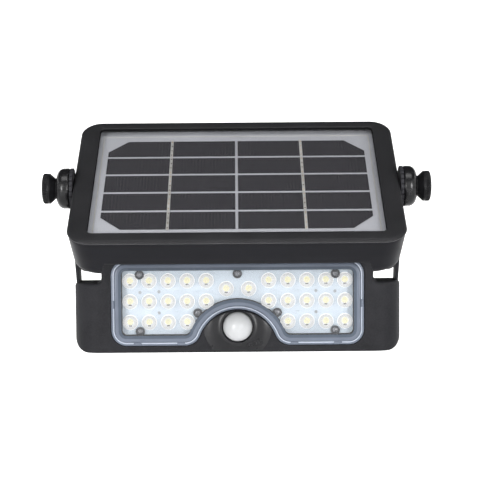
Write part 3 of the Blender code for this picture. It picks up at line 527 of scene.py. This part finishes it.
def make_cell():
    """Dark silicon with fine silver fingers across the panel and a faint crystal mottle."""
    finish = Finish("solar_cell", IOR=1.45, Specular_IOR_Level=0.3)
    flakes = finish.node("ShaderNodeTexVoronoi")
    flakes.inputs["Scale"].default_value = 260.0
    finish.link(finish.coordinates, flakes.inputs["Vector"])
    base = finish.ramp(flakes.outputs["Distance"], [(0.0, (0.013, 0.011, 0.014)),
                                                    (1.0, (0.021, 0.018, 0.022))])
    wave = finish.node("ShaderNodeTexWave", wave_type="BANDS", bands_direction="X")
    wave.inputs["Scale"].default_value = 160.0
    finish.link(finish.coordinates, wave.inputs["Vector"])
    lines = finish.span(wave.outputs["Fac"], 0.0, 0.35, 0.80, 0.98)
    finish.colour(finish.mix(lines, base, (0.10, 0.095, 0.098)))
    finish.roughness(finish.span(flakes.outputs["Distance"], 0.30, 0.42, 0.0, 1.0))
    return finish.material


# --- Lamp head -------------------------------------------------------------------------------------
def face_drop(x):
    """How far the face has curved back towards the wall at this distance from the middle."""
    over = abs(x) - (WING_HALF_X - WING_ROUND)
    return WING_ROUND - math.sqrt(max(WING_ROUND ** 2 - over ** 2, 0.0)) if over > 0 else 0.0


def head_block():
    """The outside of the lamp head, with its ends curved back and its front edges rounded."""
    edge = 1.9
    levels = []
    for s in range(6):
        a = math.radians(18 * s)
        levels.append((head_outline(edge * (1 - math.sin(a))), FACE_Y + edge * (1 - math.cos(a))))
    levels += [(head_outline(), BACK_Y - 0.5), (head_outline(0.5), BACK_Y)]
    shape = stack(levels, XZ)
    for s in range(11):
        x = WING_HALF_X - WING_ROUND * (1 - math.sin(math.radians(8 * s)))
        for sign in (-1, 1):
            bmesh.ops.bisect_plane(shape, geom=shape.verts[:] + shape.edges[:] + shape.faces[:],
                                   plane_co=(sign * x, 0, 0), plane_no=(1, 0, 0))
    for vert in shape.verts:
        share = min(max((BACK_Y - 1 - vert.co.y) / (BACK_Y - 1 - FACE_Y - edge), 0.0), 1.0)
        vert.co.y += face_drop(vert.co.x) * share
    return shape


def arm_outline():
    """Side view of an arm: from the wing up to the toothed disc on the hinge."""
    foot = WING_TOP_Z - 4
    rim = []
    for tooth in range(13):
        centre = 22 + 15 * tooth
        for away, depth in ((-2.2, 0), (-1.3, 0.55), (1.3, 0.55), (2.2, 0)):
            a = math.radians(centre + away)
            rim.append(((BARREL_RADIUS - depth) * math.cos(a), (BARREL_RADIUS - depth) * math.sin(a)))
    return [(34.6, foot), (34.6, WING_TOP_Z)] + rim + [(22.6, WING_TOP_Z), (22.6, foot)]


def build_head(mats):
    arms, bores = [], []
    for sign in (-1, 1):
        low, high = sorted((sign * ARM_INNER_X, sign * ARM_OUTER_X))
        arms.append(slab(arm_outline(), low, high, YZ, 0.25, 2))
        bores.append(pipe(BORE, 95, 112, RIGHT if sign > 0 else LEFT))
    bay = stack([(head_outline(HEAD_WALL), BAY_FRONT_Y), (head_outline(HEAD_WALL), BACK_Y + 5)], XZ)
    for sign in (-1, 1):
        for s in range(6):
            x = WING_HALF_X - HEAD_WALL - (WING_ROUND - HEAD_WALL) * (1 - math.sin(math.radians(15 * s)))
            bmesh.ops.bisect_plane(bay, geom=bay.verts[:] + bay.edges[:] + bay.faces[:],
                                   plane_co=(sign * x, 0, 0), plane_no=(1, 0, 0))
    for vert in bay.verts:
        if vert.co.y < 20:
            vert.co.y += max(face_drop(vert.co.x * 1.02) - 4.0, 0.0)
    lens_seat = [(lens_outline(-1.4), 4), (lens_outline(-1.4), FACE_Y - 0.85),
                 (lens_outline(-0.4), FACE_Y - 0.5), (lens_outline(-0.4), LENS_SEAT_Y)]
    cuts = bores + [
        bay,
        slab(head_outline(COVER_INSET), BACK_Y - COVER_REBATE, BACK_Y + 5, XZ),
        stack(lens_seat, XZ),
        slab(lens_outline(BOARD_INSET - 0.4), 5, BOARD_BACK_Y + 0.4, XZ),
        pipe(DOME_RADIUS + 0.4, 5, 26, BACK, (0, 0, SENSOR_Z), 64),
    ]
    shape = combine(head_block(), arms, cuts)
    piece("lamp_housing", shape, "head", ["head_housing"], mats["head"])


def build_lid(mats):
    """Rear cover with a shallow panel for a label, the button's hole and four screw holes."""
    inset, edge = COVER_INSET + 0.3, 0.5
    levels = [(head_outline(inset), BACK_Y - 2.0), (head_outline(inset), BACK_Y - edge),
              (head_outline(inset + edge * 0.3), BACK_Y - edge * 0.3),
              (head_outline(inset + edge), BACK_Y)]
    recess = slab(box_outline(34, 11, 2.5), BACK_Y - 0.7, BACK_Y + 4, XZ)
    bmesh.ops.translate(recess, vec=(0, 0, -52), verts=recess.verts)
    holes = [pipe(BUTTON_HOLE, 30, 40, BACK, (0, 0, BUTTON_Z)), recess]
    holes += [pipe(1.6, 30, 40, BACK, (x, 0, z), 24) for x, z in COVER_SCREWS]
    piece("rear_lid", combine(stack(levels, XZ), cuts=holes), "head",
          ["rear_cover"], mats["head"])


def screw(radius, height, shank, length, turn, centre):
    """A pan-head screw with a cross recess."""
    rise = [(radius * math.sin(math.radians(a)) ** 0.8 if a else 0.0,
             height * (0.45 + 0.55 * math.cos(math.radians(a)))) for a in range(0, 91, 15)]
    profile = rise + [(radius, 0.0), (shank, 0.0)]
    pitch = 0.8
    for k in range(int(length / pitch)):
        profile += [(shank, -0.1 - k * pitch), (shank * 0.78, -0.5 - k * pitch)]
    profile += [(0.0, -length - 0.6)]
    body = turned(profile, XY, steps=32)
    arm = radius * 0.52
    cross = [block((-arm, -0.28, height * 0.35), (arm, 0.28, height + 1)),
             block((-0.28, -arm, height * 0.35), (0.28, arm, height + 1))]
    shape = combine(body, cuts=cross)
    bmesh.ops.transform(shape, matrix=Matrix.Translation(centre) @ turn, verts=shape.verts)
    return shape


def ring_skin(levels):
    """Open skin over (inset, y) levels of the lens outline."""
    return loft([[Vector((x, y, z)) for x, z in lens_outline(inset)] for inset, y in levels],
                caps=False)


def build_lens(mats):
    """Clear cover: flange, stepped rim and a flat window, hollow at the back."""
    flange = [(0.0, LENS_BACK_Y), (0.0, 9.8), (0.1, 9.45), (0.35, 9.2), (0.75, FLANGE_Y), (1.25, FLANGE_Y)]
    # The rounded step between flange and rim is a painted highlight ring (index 3).
    painted_highlight_ring = [(1.25, FLANGE_Y), (1.6, 9.05), (1.95, 8.85)]
    rim = [(1.95, 8.85), (2.2, 8.5), (2.3, 7.9), (2.45, 7.5), (2.7, 7.2), (3.05, 7.06),
           (3.5, LENS_FRONT_Y), (WINDOW_INSET, LENS_FRONT_Y)]
    inner = [(WINDOW_INSET, LENS_HOLLOW_Y), (WINDOW_INSET, LENS_BACK_Y), (0.0, LENS_BACK_Y)]
    # A dark band just in front of the window's edge: painted shade for the pocket seen through it (index
    # 2).
    band = [(WINDOW_INSET, LENS_FRONT_Y - 0.02), (6.5, LENS_FRONT_Y - 0.02)]
    window = slab(lens_outline(WINDOW_INSET), LENS_FRONT_Y, LENS_HOLLOW_Y, XZ)
    shape = merge((ring_skin(flange), 1), (ring_skin(painted_highlight_ring), 3), (ring_skin(rim), 1),
                  (ring_skin(inner), 1), (window, 0), (ring_skin(band), 2))
    bmesh.ops.remove_doubles(shape, verts=shape.verts, dist=1e-3)
    near, far, half = 0.5, 2.3, 2.4                # a tab's reach inwards and half its length
    tabs = []
    for side in (-1, 1):
        low, high = sorted((side * (LENS_HALF_X - near), side * (LENS_HALF_X - far)))
        tabs.append((block((low, 8.3, -71.8 - half), (high, 9.3, -71.8 + half), 0.35), 1))
    for x, z, inward in ((-61.5, LENS_BOTTOM_Z, 1), (-34.8, LENS_BOTTOM_Z, 1), (61.5, LENS_BOTTOM_Z, 1),
                         (34.8, LENS_BOTTOM_Z, 1), (-40.0, LENS_TOP_Z, -1), (40.0, LENS_TOP_Z, -1)):
        low, high = sorted((z + inward * near, z + inward * far))
        tabs.append((block((x - half, 8.3, low), (x + half, 9.3, high), 0.35), 1))
    piece("lens_moulding", merge(*tabs, keep=shape), "head", ["lens_cover"],
          [mats["window"], mats["rim"], mats["band"], mats["edge"]])


def led_places():
    places = [(sign * LED_CENTRE_PAIR[0], LED_CENTRE_PAIR[1]) for sign in (-1, 1)]
    for row, z in enumerate(LED_ROWS):
        columns = LED_COLUMNS[1:] if row == 2 else LED_COLUMNS
        places += [(sign * x, z) for x in columns for sign in (-1, 1)]
    return places


def emitter(x, z):
    """Reflector cup, chip, phosphor disc, a small pad above the chip and a near-black mark below it
    (painted shade under the chip), with their material indices.
    """
    cup = [(0.0, 0.12), (2.6, 0.12), (3.6, 0.22), (4.5, 0.32), (4.75, 0.22), (4.75, 0.0)]
    phosphor = [(0.0, 0.12), (1.6, 0.1), (1.9, 0.0)]
    y, back = EMITTER_Y, BOARD_FRONT_Y - 0.1
    return [(turned(cup, FRONT, (x, BOARD_FRONT_Y, z), 40), 1),
            (block((x - 1.75, y, z - 1.45), (x + 1.75, back, z + 1.75), 0.12), 1),
            (turned(phosphor, FRONT, (x, y, z + 0.3), 24), 2),
            (block((x - 0.95, y + 0.05, z - 2.55), (x + 0.95, back, z - 1.75), 0.1), 4),
            (block((x - 0.55, y + 0.05, z + 2.1), (x + 0.55, back, z + 2.5), 0.1), 1)]


def build_light_engine(mats):
    parts = [(slab(lens_outline(BOARD_INSET), BOARD_FRONT_Y, BOARD_BACK_Y, XZ, 0.15, 2), 0)]
    for x, z in led_places():
        parts += emitter(x, z)
    eyelet = [(0.0, 0.02), (0.55, 0.02), (0.6, 0.1), (0.95, 0.1), (1.0, 0.0)]
    for x, z in TEST_POINTS:
        for sign in (-1, 1):
            parts.append((turned(eyelet, FRONT, (sign * x, BOARD_FRONT_Y, z), 24), 3))
    for x, z, across in RESISTORS:
        for sign in ((-1, 1) if x else (1,)):
            a, b = (1.0, 0.5) if across else (0.5, 1.0)
            parts.append((block((sign * x - a, EMITTER_Y, z - b),
                                (sign * x + a, BOARD_FRONT_Y + 0.05, z + b), 0.1), 0))
    piece("led_module", merge(*parts), "head", ["led_board"],
          [mats["white_board"], mats["cup"], mats["phosphor"], mats["pad"], mats["washer"]])

    dome = [(LED_RADIUS * math.sin(math.radians(a)), 0.1 + LED_RISE * math.cos(math.radians(a)))
            for a in range(0, 91, 9)]
    parts = [(slab(lens_outline(BOARD_INSET), OPTICS_FRONT_Y, OPTICS_BACK_Y, XZ, 0.15, 2), 0)]
    parts += [(turned(dome, FRONT, (x, OPTICS_FRONT_Y, z), 40), 1) for x, z in led_places()]
    piece("optics_sheet", merge(*parts), "head", ["lens_array"],
          [mats["optics"], mats["led_dome"]])

    # A near-black ring round each board screw: painted shade for the dark gap of its hole.
    ring = [(1.7, 0.5), (1.95, 0.75), (2.55, 0.75), (2.85, 0.5), (2.85, 0.0), (1.7, 0.0)]
    for index, (x, z) in enumerate(BOARD_SCREWS, 1):
        washer = turned(ring, FRONT, (x, 12.4, z), 40, closed=True)
        parts = [(screw(1.75, 1.0, 1.1, 4.6, FRONT, (x, 12.9, z)), 0), (washer, 1)]
        piece(f"board_fixing_{index}", merge(*parts), "head",
              [f"board_screw_{index}"], [mats["screw"], mats["washer"]])


def build_sensor(mats):
    inner = DOME_RADIUS + 0.5
    lift = [(inner, 3.9), (inner + 0.35, 4.3), (inner + 0.9, 4.4), (inner + 2.0, 4.15),
            (inner + 3.4, 3.45), (inner + 5.0, 2.5), (inner + 6.8, 1.6), (inner + 8.8, 1.0),
            (SURROUND_RADIUS, 0.65), (SURROUND_RADIUS, 0.3), (inner, 0.3)]
    ring = turned(lift, FRONT, (0, FACE_Y, SENSOR_Z), 96, closed=True)
    trims = [slab(lens_outline(-0.6), FACE_Y - 9, FACE_Y + 5, XZ),
             block((-40, FACE_Y - 9, HEAD_BOTTOM_Z - 30), (40, FACE_Y + 5, HEAD_BOTTOM_Z + 1.6))]
    piece("sensor_hood", combine(ring, cuts=trims), "head",
          ["sensor_surround"], mats["surround"])
    outer, hollow = DOME_RADIUS, DOME_RADIUS - DOME_WALL
    profile = [(outer * math.sin(math.radians(a)), outer * math.cos(math.radians(a)))
               for a in range(0, 91, 5)]
    profile += [(outer, -9.6), (outer + 1.2, -9.6), (outer + 1.2, -10.6), (hollow, -10.6)]
    profile += [(hollow * math.sin(math.radians(a)), hollow * math.cos(math.radians(a)))
                for a in range(90, -1, -10)]
    piece("pir_dome", turned(profile, FRONT, (0, DOME_CENTRE_Y, SENSOR_Z), 72), "head",
          ["sensor_dome"], mats["dome"])


def build_button(mats):
    profile = [(0, -0.35), (2.2, -0.3), (3.0, -0.05), (3.6, 0.0), (4.3, -0.05), (4.8, -0.3), (5.0, -0.8),
               (5.0, -3.6), (6.2, -3.6), (6.2, -4.6), (1.5, -4.6), (1.5, -10.2), (0, -10.2)]
    piece("push_button", turned(profile, BACK, (0, BACK_Y + 1.2, BUTTON_Z), 64), "button",
          ["power_button"], mats["rubber"])


# --- Bracket and knobs ------------------------------------------------------------------------------
def build_bracket(mats):
    half = BRACKET_ARM_OUTER_X
    corners = [(half, PLATE_LOW_Z), (half, PLATE_HIGH_Z), (-half, PLATE_HIGH_Z), (-half, PLATE_LOW_Z)]
    plate = slab(rounded([(x, z, PLATE_CORNER) for x, z in corners]), PLATE_FRONT_Y, PLATE_BACK_Y, XZ, 0.7)
    side = arc(0, 0, ARM_END_RADIUS, 97, 270, 32)
    side += [(36.0, -ARM_END_RADIUS), (52.0, -20.0), (61.0, PLATE_LOW_Z + 10), (73.0, PLATE_LOW_Z + 6),
             (73.0, PLATE_HIGH_Z - 6), (61.0, PLATE_HIGH_Z + 1)]
    joins, cuts = [], []
    for sign in (-1, 1):
        turn = RIGHT if sign > 0 else LEFT
        low, high = sorted((sign * BRACKET_ARM_INNER_X, sign * BRACKET_ARM_OUTER_X))
        joins.append(slab(side, low, high, YZ, 0.4))
        corner = [(7.4 + 4.8 * math.sin(math.radians(a)), 103.4 + 4.6 * math.cos(math.radians(a)))
                  for a in range(0, 91, 9)]
        profile = [(0, BARREL_OUTER_X)] + corner
        profile += [(BARREL_RADIUS, BARREL_INNER_X + 0.7), (BARREL_RADIUS - 0.25, BARREL_INNER_X + 0.25),
                    (BARREL_RADIUS - 0.7, BARREL_INNER_X), (0, BARREL_INNER_X)]
        joins.append(turned(profile, turn, steps=96))
        low, high = sorted((sign * 88.0, sign * 102.5))
        joins.append(block((low, PLATE_FRONT_Y - 1.2, -43), (high, PLATE_FRONT_Y + 1, -11), 0.5))
        x, wide, tip = sign * KEYHOLE_X, 2.3, 2.2
        slot = [(x + wide, KEYHOLE_Z, 0.1), (x + wide, KEYHOLE_TOP_Z, tip),
                (x - wide, KEYHOLE_TOP_Z, tip), (x - wide, KEYHOLE_Z, 0.1)]
        cuts += [pipe(BORE, 95, 112, turn), pipe(6.1, BARREL_OUTER_X - 1.1, BARREL_OUTER_X + 1, turn),
                 pipe(4.6, 60, 80, BACK, (x, 0, KEYHOLE_Z)), slab(rounded(slot), 60, 80, XZ)]
    piece("bracket_frame", combine(plate, joins, cuts), "bracket",
          ["wall_bracket"], mats["bracket"])


def build_knob(end, turn, mats):
    """Fluted rim, smooth collar, cone and neck, with a slight crown on its face."""
    flute_depths = {5: 0.15, 6: 0.35, 7: 0.5, 8: 0.5, 9: 0.3}      # by the profile's point
    profile = [(0, 117.2), (2.5, 117.15), (5.0, 116.95), (7.0, 116.65), (8.2, 116.35), (8.65, 116.1),
               (8.95, 115.75), (9.02, 115.4), (9.02, 113.7), (8.95, 113.4), (9.1, 113.15), (9.1, 112.3),
               (9.0, 112.0), (8.7, 111.75), (7.3, 110.2), (6.35, 109.2), (6.1, 108.8), (6.05, 108.3),
               (2.3, 108.3), (2.3, 113.5), (0, 113.5)]

    def wave(angle, k):
        return flute_depths.get(k, 0.0) * (abs(math.cos(KNOB_FLUTES * angle / 2)) - 0.75)

    shape = turned(profile, turn, steps=KNOB_FLUTES * 6, wave=wave)
    piece(f"hand_knob_{end}", shape, f"knob_{end}_body", [f"knob_{end}"],
          mats["knob"], crease=50)


# --- Solar panel ------------------------------------------------------------------------------------
def lerp_rectangle(share, inset=0.0):
    """Between the bezel's outer edge (0) and the window (1)."""
    half_x = BEZEL_HALF[0] + (WINDOW_HALF[0] - BEZEL_HALF[0]) * share - inset
    half_y = BEZEL_HALF[1] + (WINDOW_HALF[1] - BEZEL_HALF[1]) * share - inset
    radius = BEZEL_CORNER + (WINDOW_CORNER - BEZEL_CORNER) * share - inset
    return box_outline(half_x, half_y, max(radius, 0.6), 10)


def build_bezel(mats):
    """Crowned frame: an undercut outer edge, a gentle rise to the lip and a recess for the glass."""
    outer = [(SKIRT_INSET, SKIRT_LOW_Z), (SKIRT_INSET, 4.98), (1.35, 5.0), (0.9, 5.1), (0.45, 5.3),
             (0.12, 5.55), (0.0, 5.82), (0.2, 6.15), (0.5, 6.45), (0.95, 6.78), (1.5, 7.04), (2.4, 7.18)]
    levels = [(lerp_rectangle(0, inset), z) for inset, z in outer]
    levels += [(lerp_rectangle(share), z) for share, z in ((0.4, 7.34), (0.7, 7.46))]
    levels += [(lerp_rectangle(1, inset), z) for inset, z in
               ((-1.3, 7.48), (-0.8, 7.36), (-0.35, 7.1), (-0.1, 6.7), (0.0, 5.9))]
    recess = box_outline(GLASS_HALF[0] + 0.4, GLASS_HALF[1] + 0.4, 3.4, 10)
    levels += [(recess, 5.95), (recess, SKIRT_LOW_Z)]
    loops = [[Vector((x, y, z)) for x, y in outline] for outline, z in levels]
    shape = loft(loops, caps=False, closed=True)
    posts = [turned([(1.4, 5.0), (2.7, 5.0), (2.7, -3.7), (1.4, -3.7)], XY, (x, y, 0), 32, closed=True)
             for x, y in SHELL_SCREWS]
    shape = merge(shape, *posts)
    # Faces of the lip's inner wall and the glass recess take the near-black painted shade (index 1).
    for face in shape.faces:
        x, y, z = face.calc_center_median()
        if z < 7.2 and abs(x) < WINDOW_HALF[0] + 0.3 and abs(y) < WINDOW_HALF[1] + 0.3:
            face.material_index = 1
    piece("panel_frame", shape, "panel", ["panel_bezel"],
          [mats["bezel"], mats["painted_shade_wall"]], PANEL)


def build_laminate(mats):
    outline = box_outline(*GLASS_HALF, 3.0)
    piece("cover_glass", slab(outline, GLASS_LOW, GLASS_TOP, XY, 0.25), "panel",
          ["panel_glass"], mats["glass"], PANEL)
    sheet = slab(outline, BACKING_LOW, BACKING_TOP, XY, 0.1, 2)
    line_out = box_outline(WINDOW_HALF[0] - 1.9, WINDOW_HALF[1] - 1.9, 1.4)
    line_in = box_outline(WINDOW_HALF[0] - 2.5, WINDOW_HALF[1] - 2.5, 0.9)
    loops = [[Vector((x, y, z)) for x, y in outline] for outline, z in
             ((line_out, BACKING_TOP - 0.05), (line_out, BACKING_TOP + 0.15),
              (line_in, BACKING_TOP + 0.15), (line_in, BACKING_TOP - 0.05))]
    piece("back_sheet", merge(sheet, (loft(loops, caps=False, closed=True), 1)), "panel",
          ["panel_backing"], [mats["backing"], mats["ribbon"]], PANEL)
    depth = (2 * CELL_HALF_Y - (CELL_ROWS - 1) * ROW_GAP) / CELL_ROWS
    inner = COLUMN_GAP / 2
    for row in range(CELL_ROWS):
        low_y = -CELL_HALF_Y + row * (depth + ROW_GAP)
        high_y = low_y + depth
        low_cut = CELL_CHAMFER if row == 0 else 0
        high_cut = CELL_CHAMFER if row == CELL_ROWS - 1 else 0
        right = [(inner, low_y), (CELL_HALF_X - low_cut, low_y)]
        right += [(CELL_HALF_X, low_y + low_cut)] if low_cut else []
        right += [(CELL_HALF_X, high_y - high_cut)] if high_cut else []
        right += [(CELL_HALF_X - high_cut, high_y), (inner, high_y)]
        for end, sign in (("right", 1), ("left", -1)):
            outline = [(sign * x, y) for x, y in right]
            middle = sign * (inner + CELL_HALF_X) / 2
            start = low_y - (1.4 if row == 0 else ROW_GAP / 2)
            stop = high_y + (1.4 if row == CELL_ROWS - 1 else ROW_GAP / 2)
            ribbon_top = CELL_TOP + 0.1
            ribbon = block((middle - RIBBON_HALF, start, CELL_TOP - 0.02),
                           (middle + RIBBON_HALF, stop, ribbon_top), 0.05)
            dots = []
            for k in range(4):
                x, y = middle + 0.15 * math.sin(7 * k), start + (stop - start) * (k + 0.5) / 4
                dots.append((turned([(0, 0.05), (0.35, 0.05), (0.45, 0.0)], XY, (x, y, ribbon_top), 10), 2))
            piece(f"cell_{end}_{row + 1}",
                  merge((slab(outline, CELL_LOW, CELL_TOP, XY, 0.04, 1), 0), (ribbon, 1), *dots), "panel",
                  [f"cell_strip_{end}_{row + 1}"],
                  [mats["cell"], mats["ribbon"], mats["brass"]], PANEL)


def shell_floor(x):
    """Underside height: level between the two deep ends, and lower in them."""
    share = min(max((abs(x) - FOOT_INNER_X + FOOT_RAMP) / FOOT_RAMP, 0.0), 1.0)
    share = share * share * (3 - 2 * share)
    return SHELL_FLOOR_Z + (SHELL_FOOT_Z - SHELL_FLOOR_Z) * share


def soft_max(a, b, width):
    """The larger of two heights, blended where they are within a width of each other."""
    share = min(max(0.5 + (a - b) / (2 * width), 0.0), 1.0)
    return b + (a - b) * share + width * share * (1 - share)


def section_inset(z, straight, radius):
    """Inset of a wall at a height, with its lower corner rounded at the foot."""
    inset = straight(z)
    rise = z - SHELL_FOOT_Z
    if rise < radius:
        inset += radius - math.sqrt(max(radius ** 2 - (radius - rise) ** 2, 0.0))
    return inset


def build_shell(mats):
    """Rear housing of the panel: a tray with two deeper ends, its bottom edges rounded."""
    top, foot = SHELL_TOP_Z, SHELL_FOOT_Z

    def side_x(z):
        return 2.2 * (top - z) / (top - foot)

    def side_y(z):
        return 2.6 * (top - z) / 11.7 if z > -7 else 2.6 + 4.3 * (-7 - z) / 16.7

    levels = [(box_outline(SHELL_HALF[0] - i, SHELL_HALF[1] - i, BEZEL_CORNER - i, 10), top - drop)
              for i, drop in ((0.35, 0.0), (0.1, 0.1))]
    heights = [top - 0.7, 2.5, 0, -3, -5, -7, -9, -10.5, -12] + [foot + 12 * (1 - s / 12) ** 2
                                                             for s in range(1, 13)]
    for z in heights:
        in_x = section_inset(z, side_x, 6.5)
        in_y = section_inset(z, side_y, 6.0)
        radius = BEZEL_CORNER + 0.35 * in_x
        levels.append((box_outline(SHELL_HALF[0] - in_x, SHELL_HALF[1] - in_y, radius, 10), z))
    shape = stack(levels)
    stations = [FOOT_INNER_X - FOOT_RAMP * (1 - k / 10) for k in range(11)] + [40.0, 60.0, 70.0]
    for x in stations:
        for sign in (-1, 1):
            bmesh.ops.bisect_plane(shape, geom=shape.verts[:] + shape.edges[:] + shape.faces[:],
                                   plane_co=(sign * x, 0, 0), plane_no=(1, 0, 0))
    for vert in shape.verts:
        vert.co.z = soft_max(vert.co.z, shell_floor(vert.co.x), 0.8)
        vert.co.z = max(vert.co.z, foot)
    bmesh.ops.recalc_face_normals(shape, faces=shape.faces)
    tray = box_outline(SHELL_HALF[0] - SHELL_WALL, SHELL_HALF[1] - SHELL_WALL, BEZEL_CORNER - SHELL_WALL)
    cuts = [slab(tray, TRAY_LEDGE_Z, 12), slab(box_outline(85.5, 57.5, 6.0), SHELL_FLOOR_Z + 2.0, 10)]
    for sign in (-1, 1):
        turn = RIGHT if sign > 0 else LEFT
        low, high = sorted((sign * 82.0, sign * 88.5))
        cuts += [block((low, -38, -19), (high, 38, -8.6)), pipe(BORE, 84, 105, turn)]
    for x, y in SHELL_SCREWS:
        cuts += [pipe(3.1, -4.0, 10, XY, (x, y, 0)), pipe(1.5, -12, 0, XY, (x, y, 0), 24),
                 pipe(3.1, -27, -8.0, XY, (x, y, 0))]
    shape = combine(shape, cuts=cuts)
    # The shell's top ledge takes the pale painted highlight (index 1): a glint along the parting line.
    for face in shape.faces:
        if face.calc_center_median().z > top - 0.15:
            face.material_index = 1
    piece("panel_tray", shape, "panel", ["panel_shell"],
          [mats["shell"], mats["ledge_highlight"]], PANEL)


# --- What stays as the CAD made it -------------------------------------------------------------------
def dress_frame(mats):
    finishes = {
        "steel": ["knob_washer_left", "knob_washer_right", "sensor_can", "clamp_stud_left",
                  "clamp_stud_right"],
        "rubber": ["cover_gasket", "lens_gasket", "panel_seal"],
        "green_board": ["sensor_board", "control_board"],
        "black": ["battery_holder", "junction_block"],
        "sleeve": ["battery_cell_left", "battery_cell_right"],
        "lead": ["battery_lead"],
        "brass": ["clamp_nut_left", "clamp_nut_right"],
    }
    for finish, names in finishes.items():
        for name in names:
            node = frame["nodes"][name]
            node.data.materials.clear()
            node.data.materials.append(mats[finish])


def build_screws(mats):
    for index, (x, z) in enumerate(COVER_SCREWS, 1):
        piece(f"cover_fixing_{index}", screw(2.8, 1.5, 1.2, 9.0, BACK, (x, BACK_Y + 0.3, z)), "head",
              [f"cover_screw_{index}"], mats["screw"])
    for index, (x, y) in enumerate(SHELL_SCREWS, 1):
        piece(f"shell_fixing_{index}", screw(2.6, 1.4, 1.1, 9.5, DOWN, (x, y, -8.3)), "panel",
              [f"shell_screw_{index}"], mats["screw"], PANEL)


# --- Studio --------------------------------------------------------------------------------------------
def softbox(name, place, target, size, power):
    """A rectangular area light, sized in metres, that the camera doesn't see."""
    light = bpy.data.lights.new(name, "AREA")
    light.shape = "RECTANGLE"
    light.size, light.size_y = size
    light.energy = power
    thing = bpy.data.objects.new(name, light)
    thing.location = place
    thing.rotation_euler = (Vector(target) - Vector(place)).to_track_quat("-Z", "Y").to_euler()
    thing.visible_camera = False
    bpy.context.scene.collection.objects.link(thing)


def build_backdrop():
    """A round floor that curves up into a low wall, open at the top; it glows behind the light."""
    floor_z, floor_reach, curve, wall_top, shift = -0.30, 1.6, 0.5, 1.0, 0.3
    profile = [(0.02, floor_z), (floor_reach, floor_z)]
    profile += [(floor_reach + curve * math.sin(math.radians(a)),
                 floor_z + curve * (1 - math.cos(math.radians(a)))) for a in range(10, 91, 10)]
    profile += [(floor_reach + curve, wall_top)]
    shape = turned(profile, XY, steps=96)
    for vert in shape.verts:
        vert.co.y += shift
    lids = [face for face in shape.faces if len(face.verts) > 4 and face.calc_center_median().z > 0]
    for face in lids:
        shape.faces.remove(face)
    mesh = bpy.data.meshes.new("studio_floor")
    shape.to_mesh(mesh)
    shape.free()
    mesh.shade_smooth()
    floor = bpy.data.objects.new("studio_floor", mesh)
    bpy.context.scene.collection.objects.link(floor)
    paper = Finish("studio_paper", Roughness=0.9, Specular_IOR_Level=0.1,
                   Base_Color=(0.75, 0.75, 0.75, 1.0), Emission_Color=(1.0, 1.0, 1.0, 1.0))
    split = paper.node("ShaderNodeSeparateXYZ")
    paper.link(paper.coordinates, split.inputs["Vector"])
    glow = paper.span(split.outputs["Y"], 0.16, 1.0, 0.0, 0.45)
    paper.link(glow, paper.shader.inputs["Emission Strength"])
    mesh.materials.append(paper.material)


def build_lights():
    world = bpy.data.worlds.new("studio")
    world.use_nodes = True
    world.node_tree.nodes["Background"].inputs["Color"].default_value = (0.60, 0.61, 0.63, 1.0)
    world.node_tree.nodes["Background"].inputs["Strength"].default_value = 0.08
    bpy.context.scene.world = world
    middle = (0.0, -0.07, -0.02)
    for side, sign in (("left", -1), ("right", 1)):
        softbox(f"front_{side}", (sign * 0.72, -1.25, 0.10), middle, (0.20, 0.5), 7.5)
    softbox("overhead", (0.0, -0.75, 1.3), middle, (1.6, 0.6), 8.0)


def build_camera():
    camera = bpy.data.cameras.new("camera")
    camera.lens = 108.3
    camera.sensor_width = 36.0
    viewpoint = bpy.data.objects.new("camera", camera)
    viewpoint.location = HINGE + CAMERA_PLACE
    roll = Matrix.Rotation(math.radians(CAMERA_ROLL), 4, "Z")
    pitch = Matrix.Rotation(math.radians(90 + CAMERA_PITCH), 4, "X")
    viewpoint.rotation_euler = (pitch @ roll).to_euler()
    bpy.context.scene.collection.objects.link(viewpoint)
    bpy.context.scene.camera = viewpoint
    bpy.context.scene.view_settings.view_transform = "Standard"


materials = make_materials()
build_bracket(materials)
for knob_end, knob_turn in (("right", RIGHT), ("left", LEFT)):
    build_knob(knob_end, knob_turn, materials)
build_head(materials)
build_lid(materials)
build_lens(materials)
build_light_engine(materials)
build_sensor(materials)
build_button(materials)
build_bezel(materials)
build_laminate(materials)
build_shell(materials)
build_screws(materials)
dress_frame(materials)
build_backdrop()
build_lights()
build_camera()

bpy.context.view_layer.update()
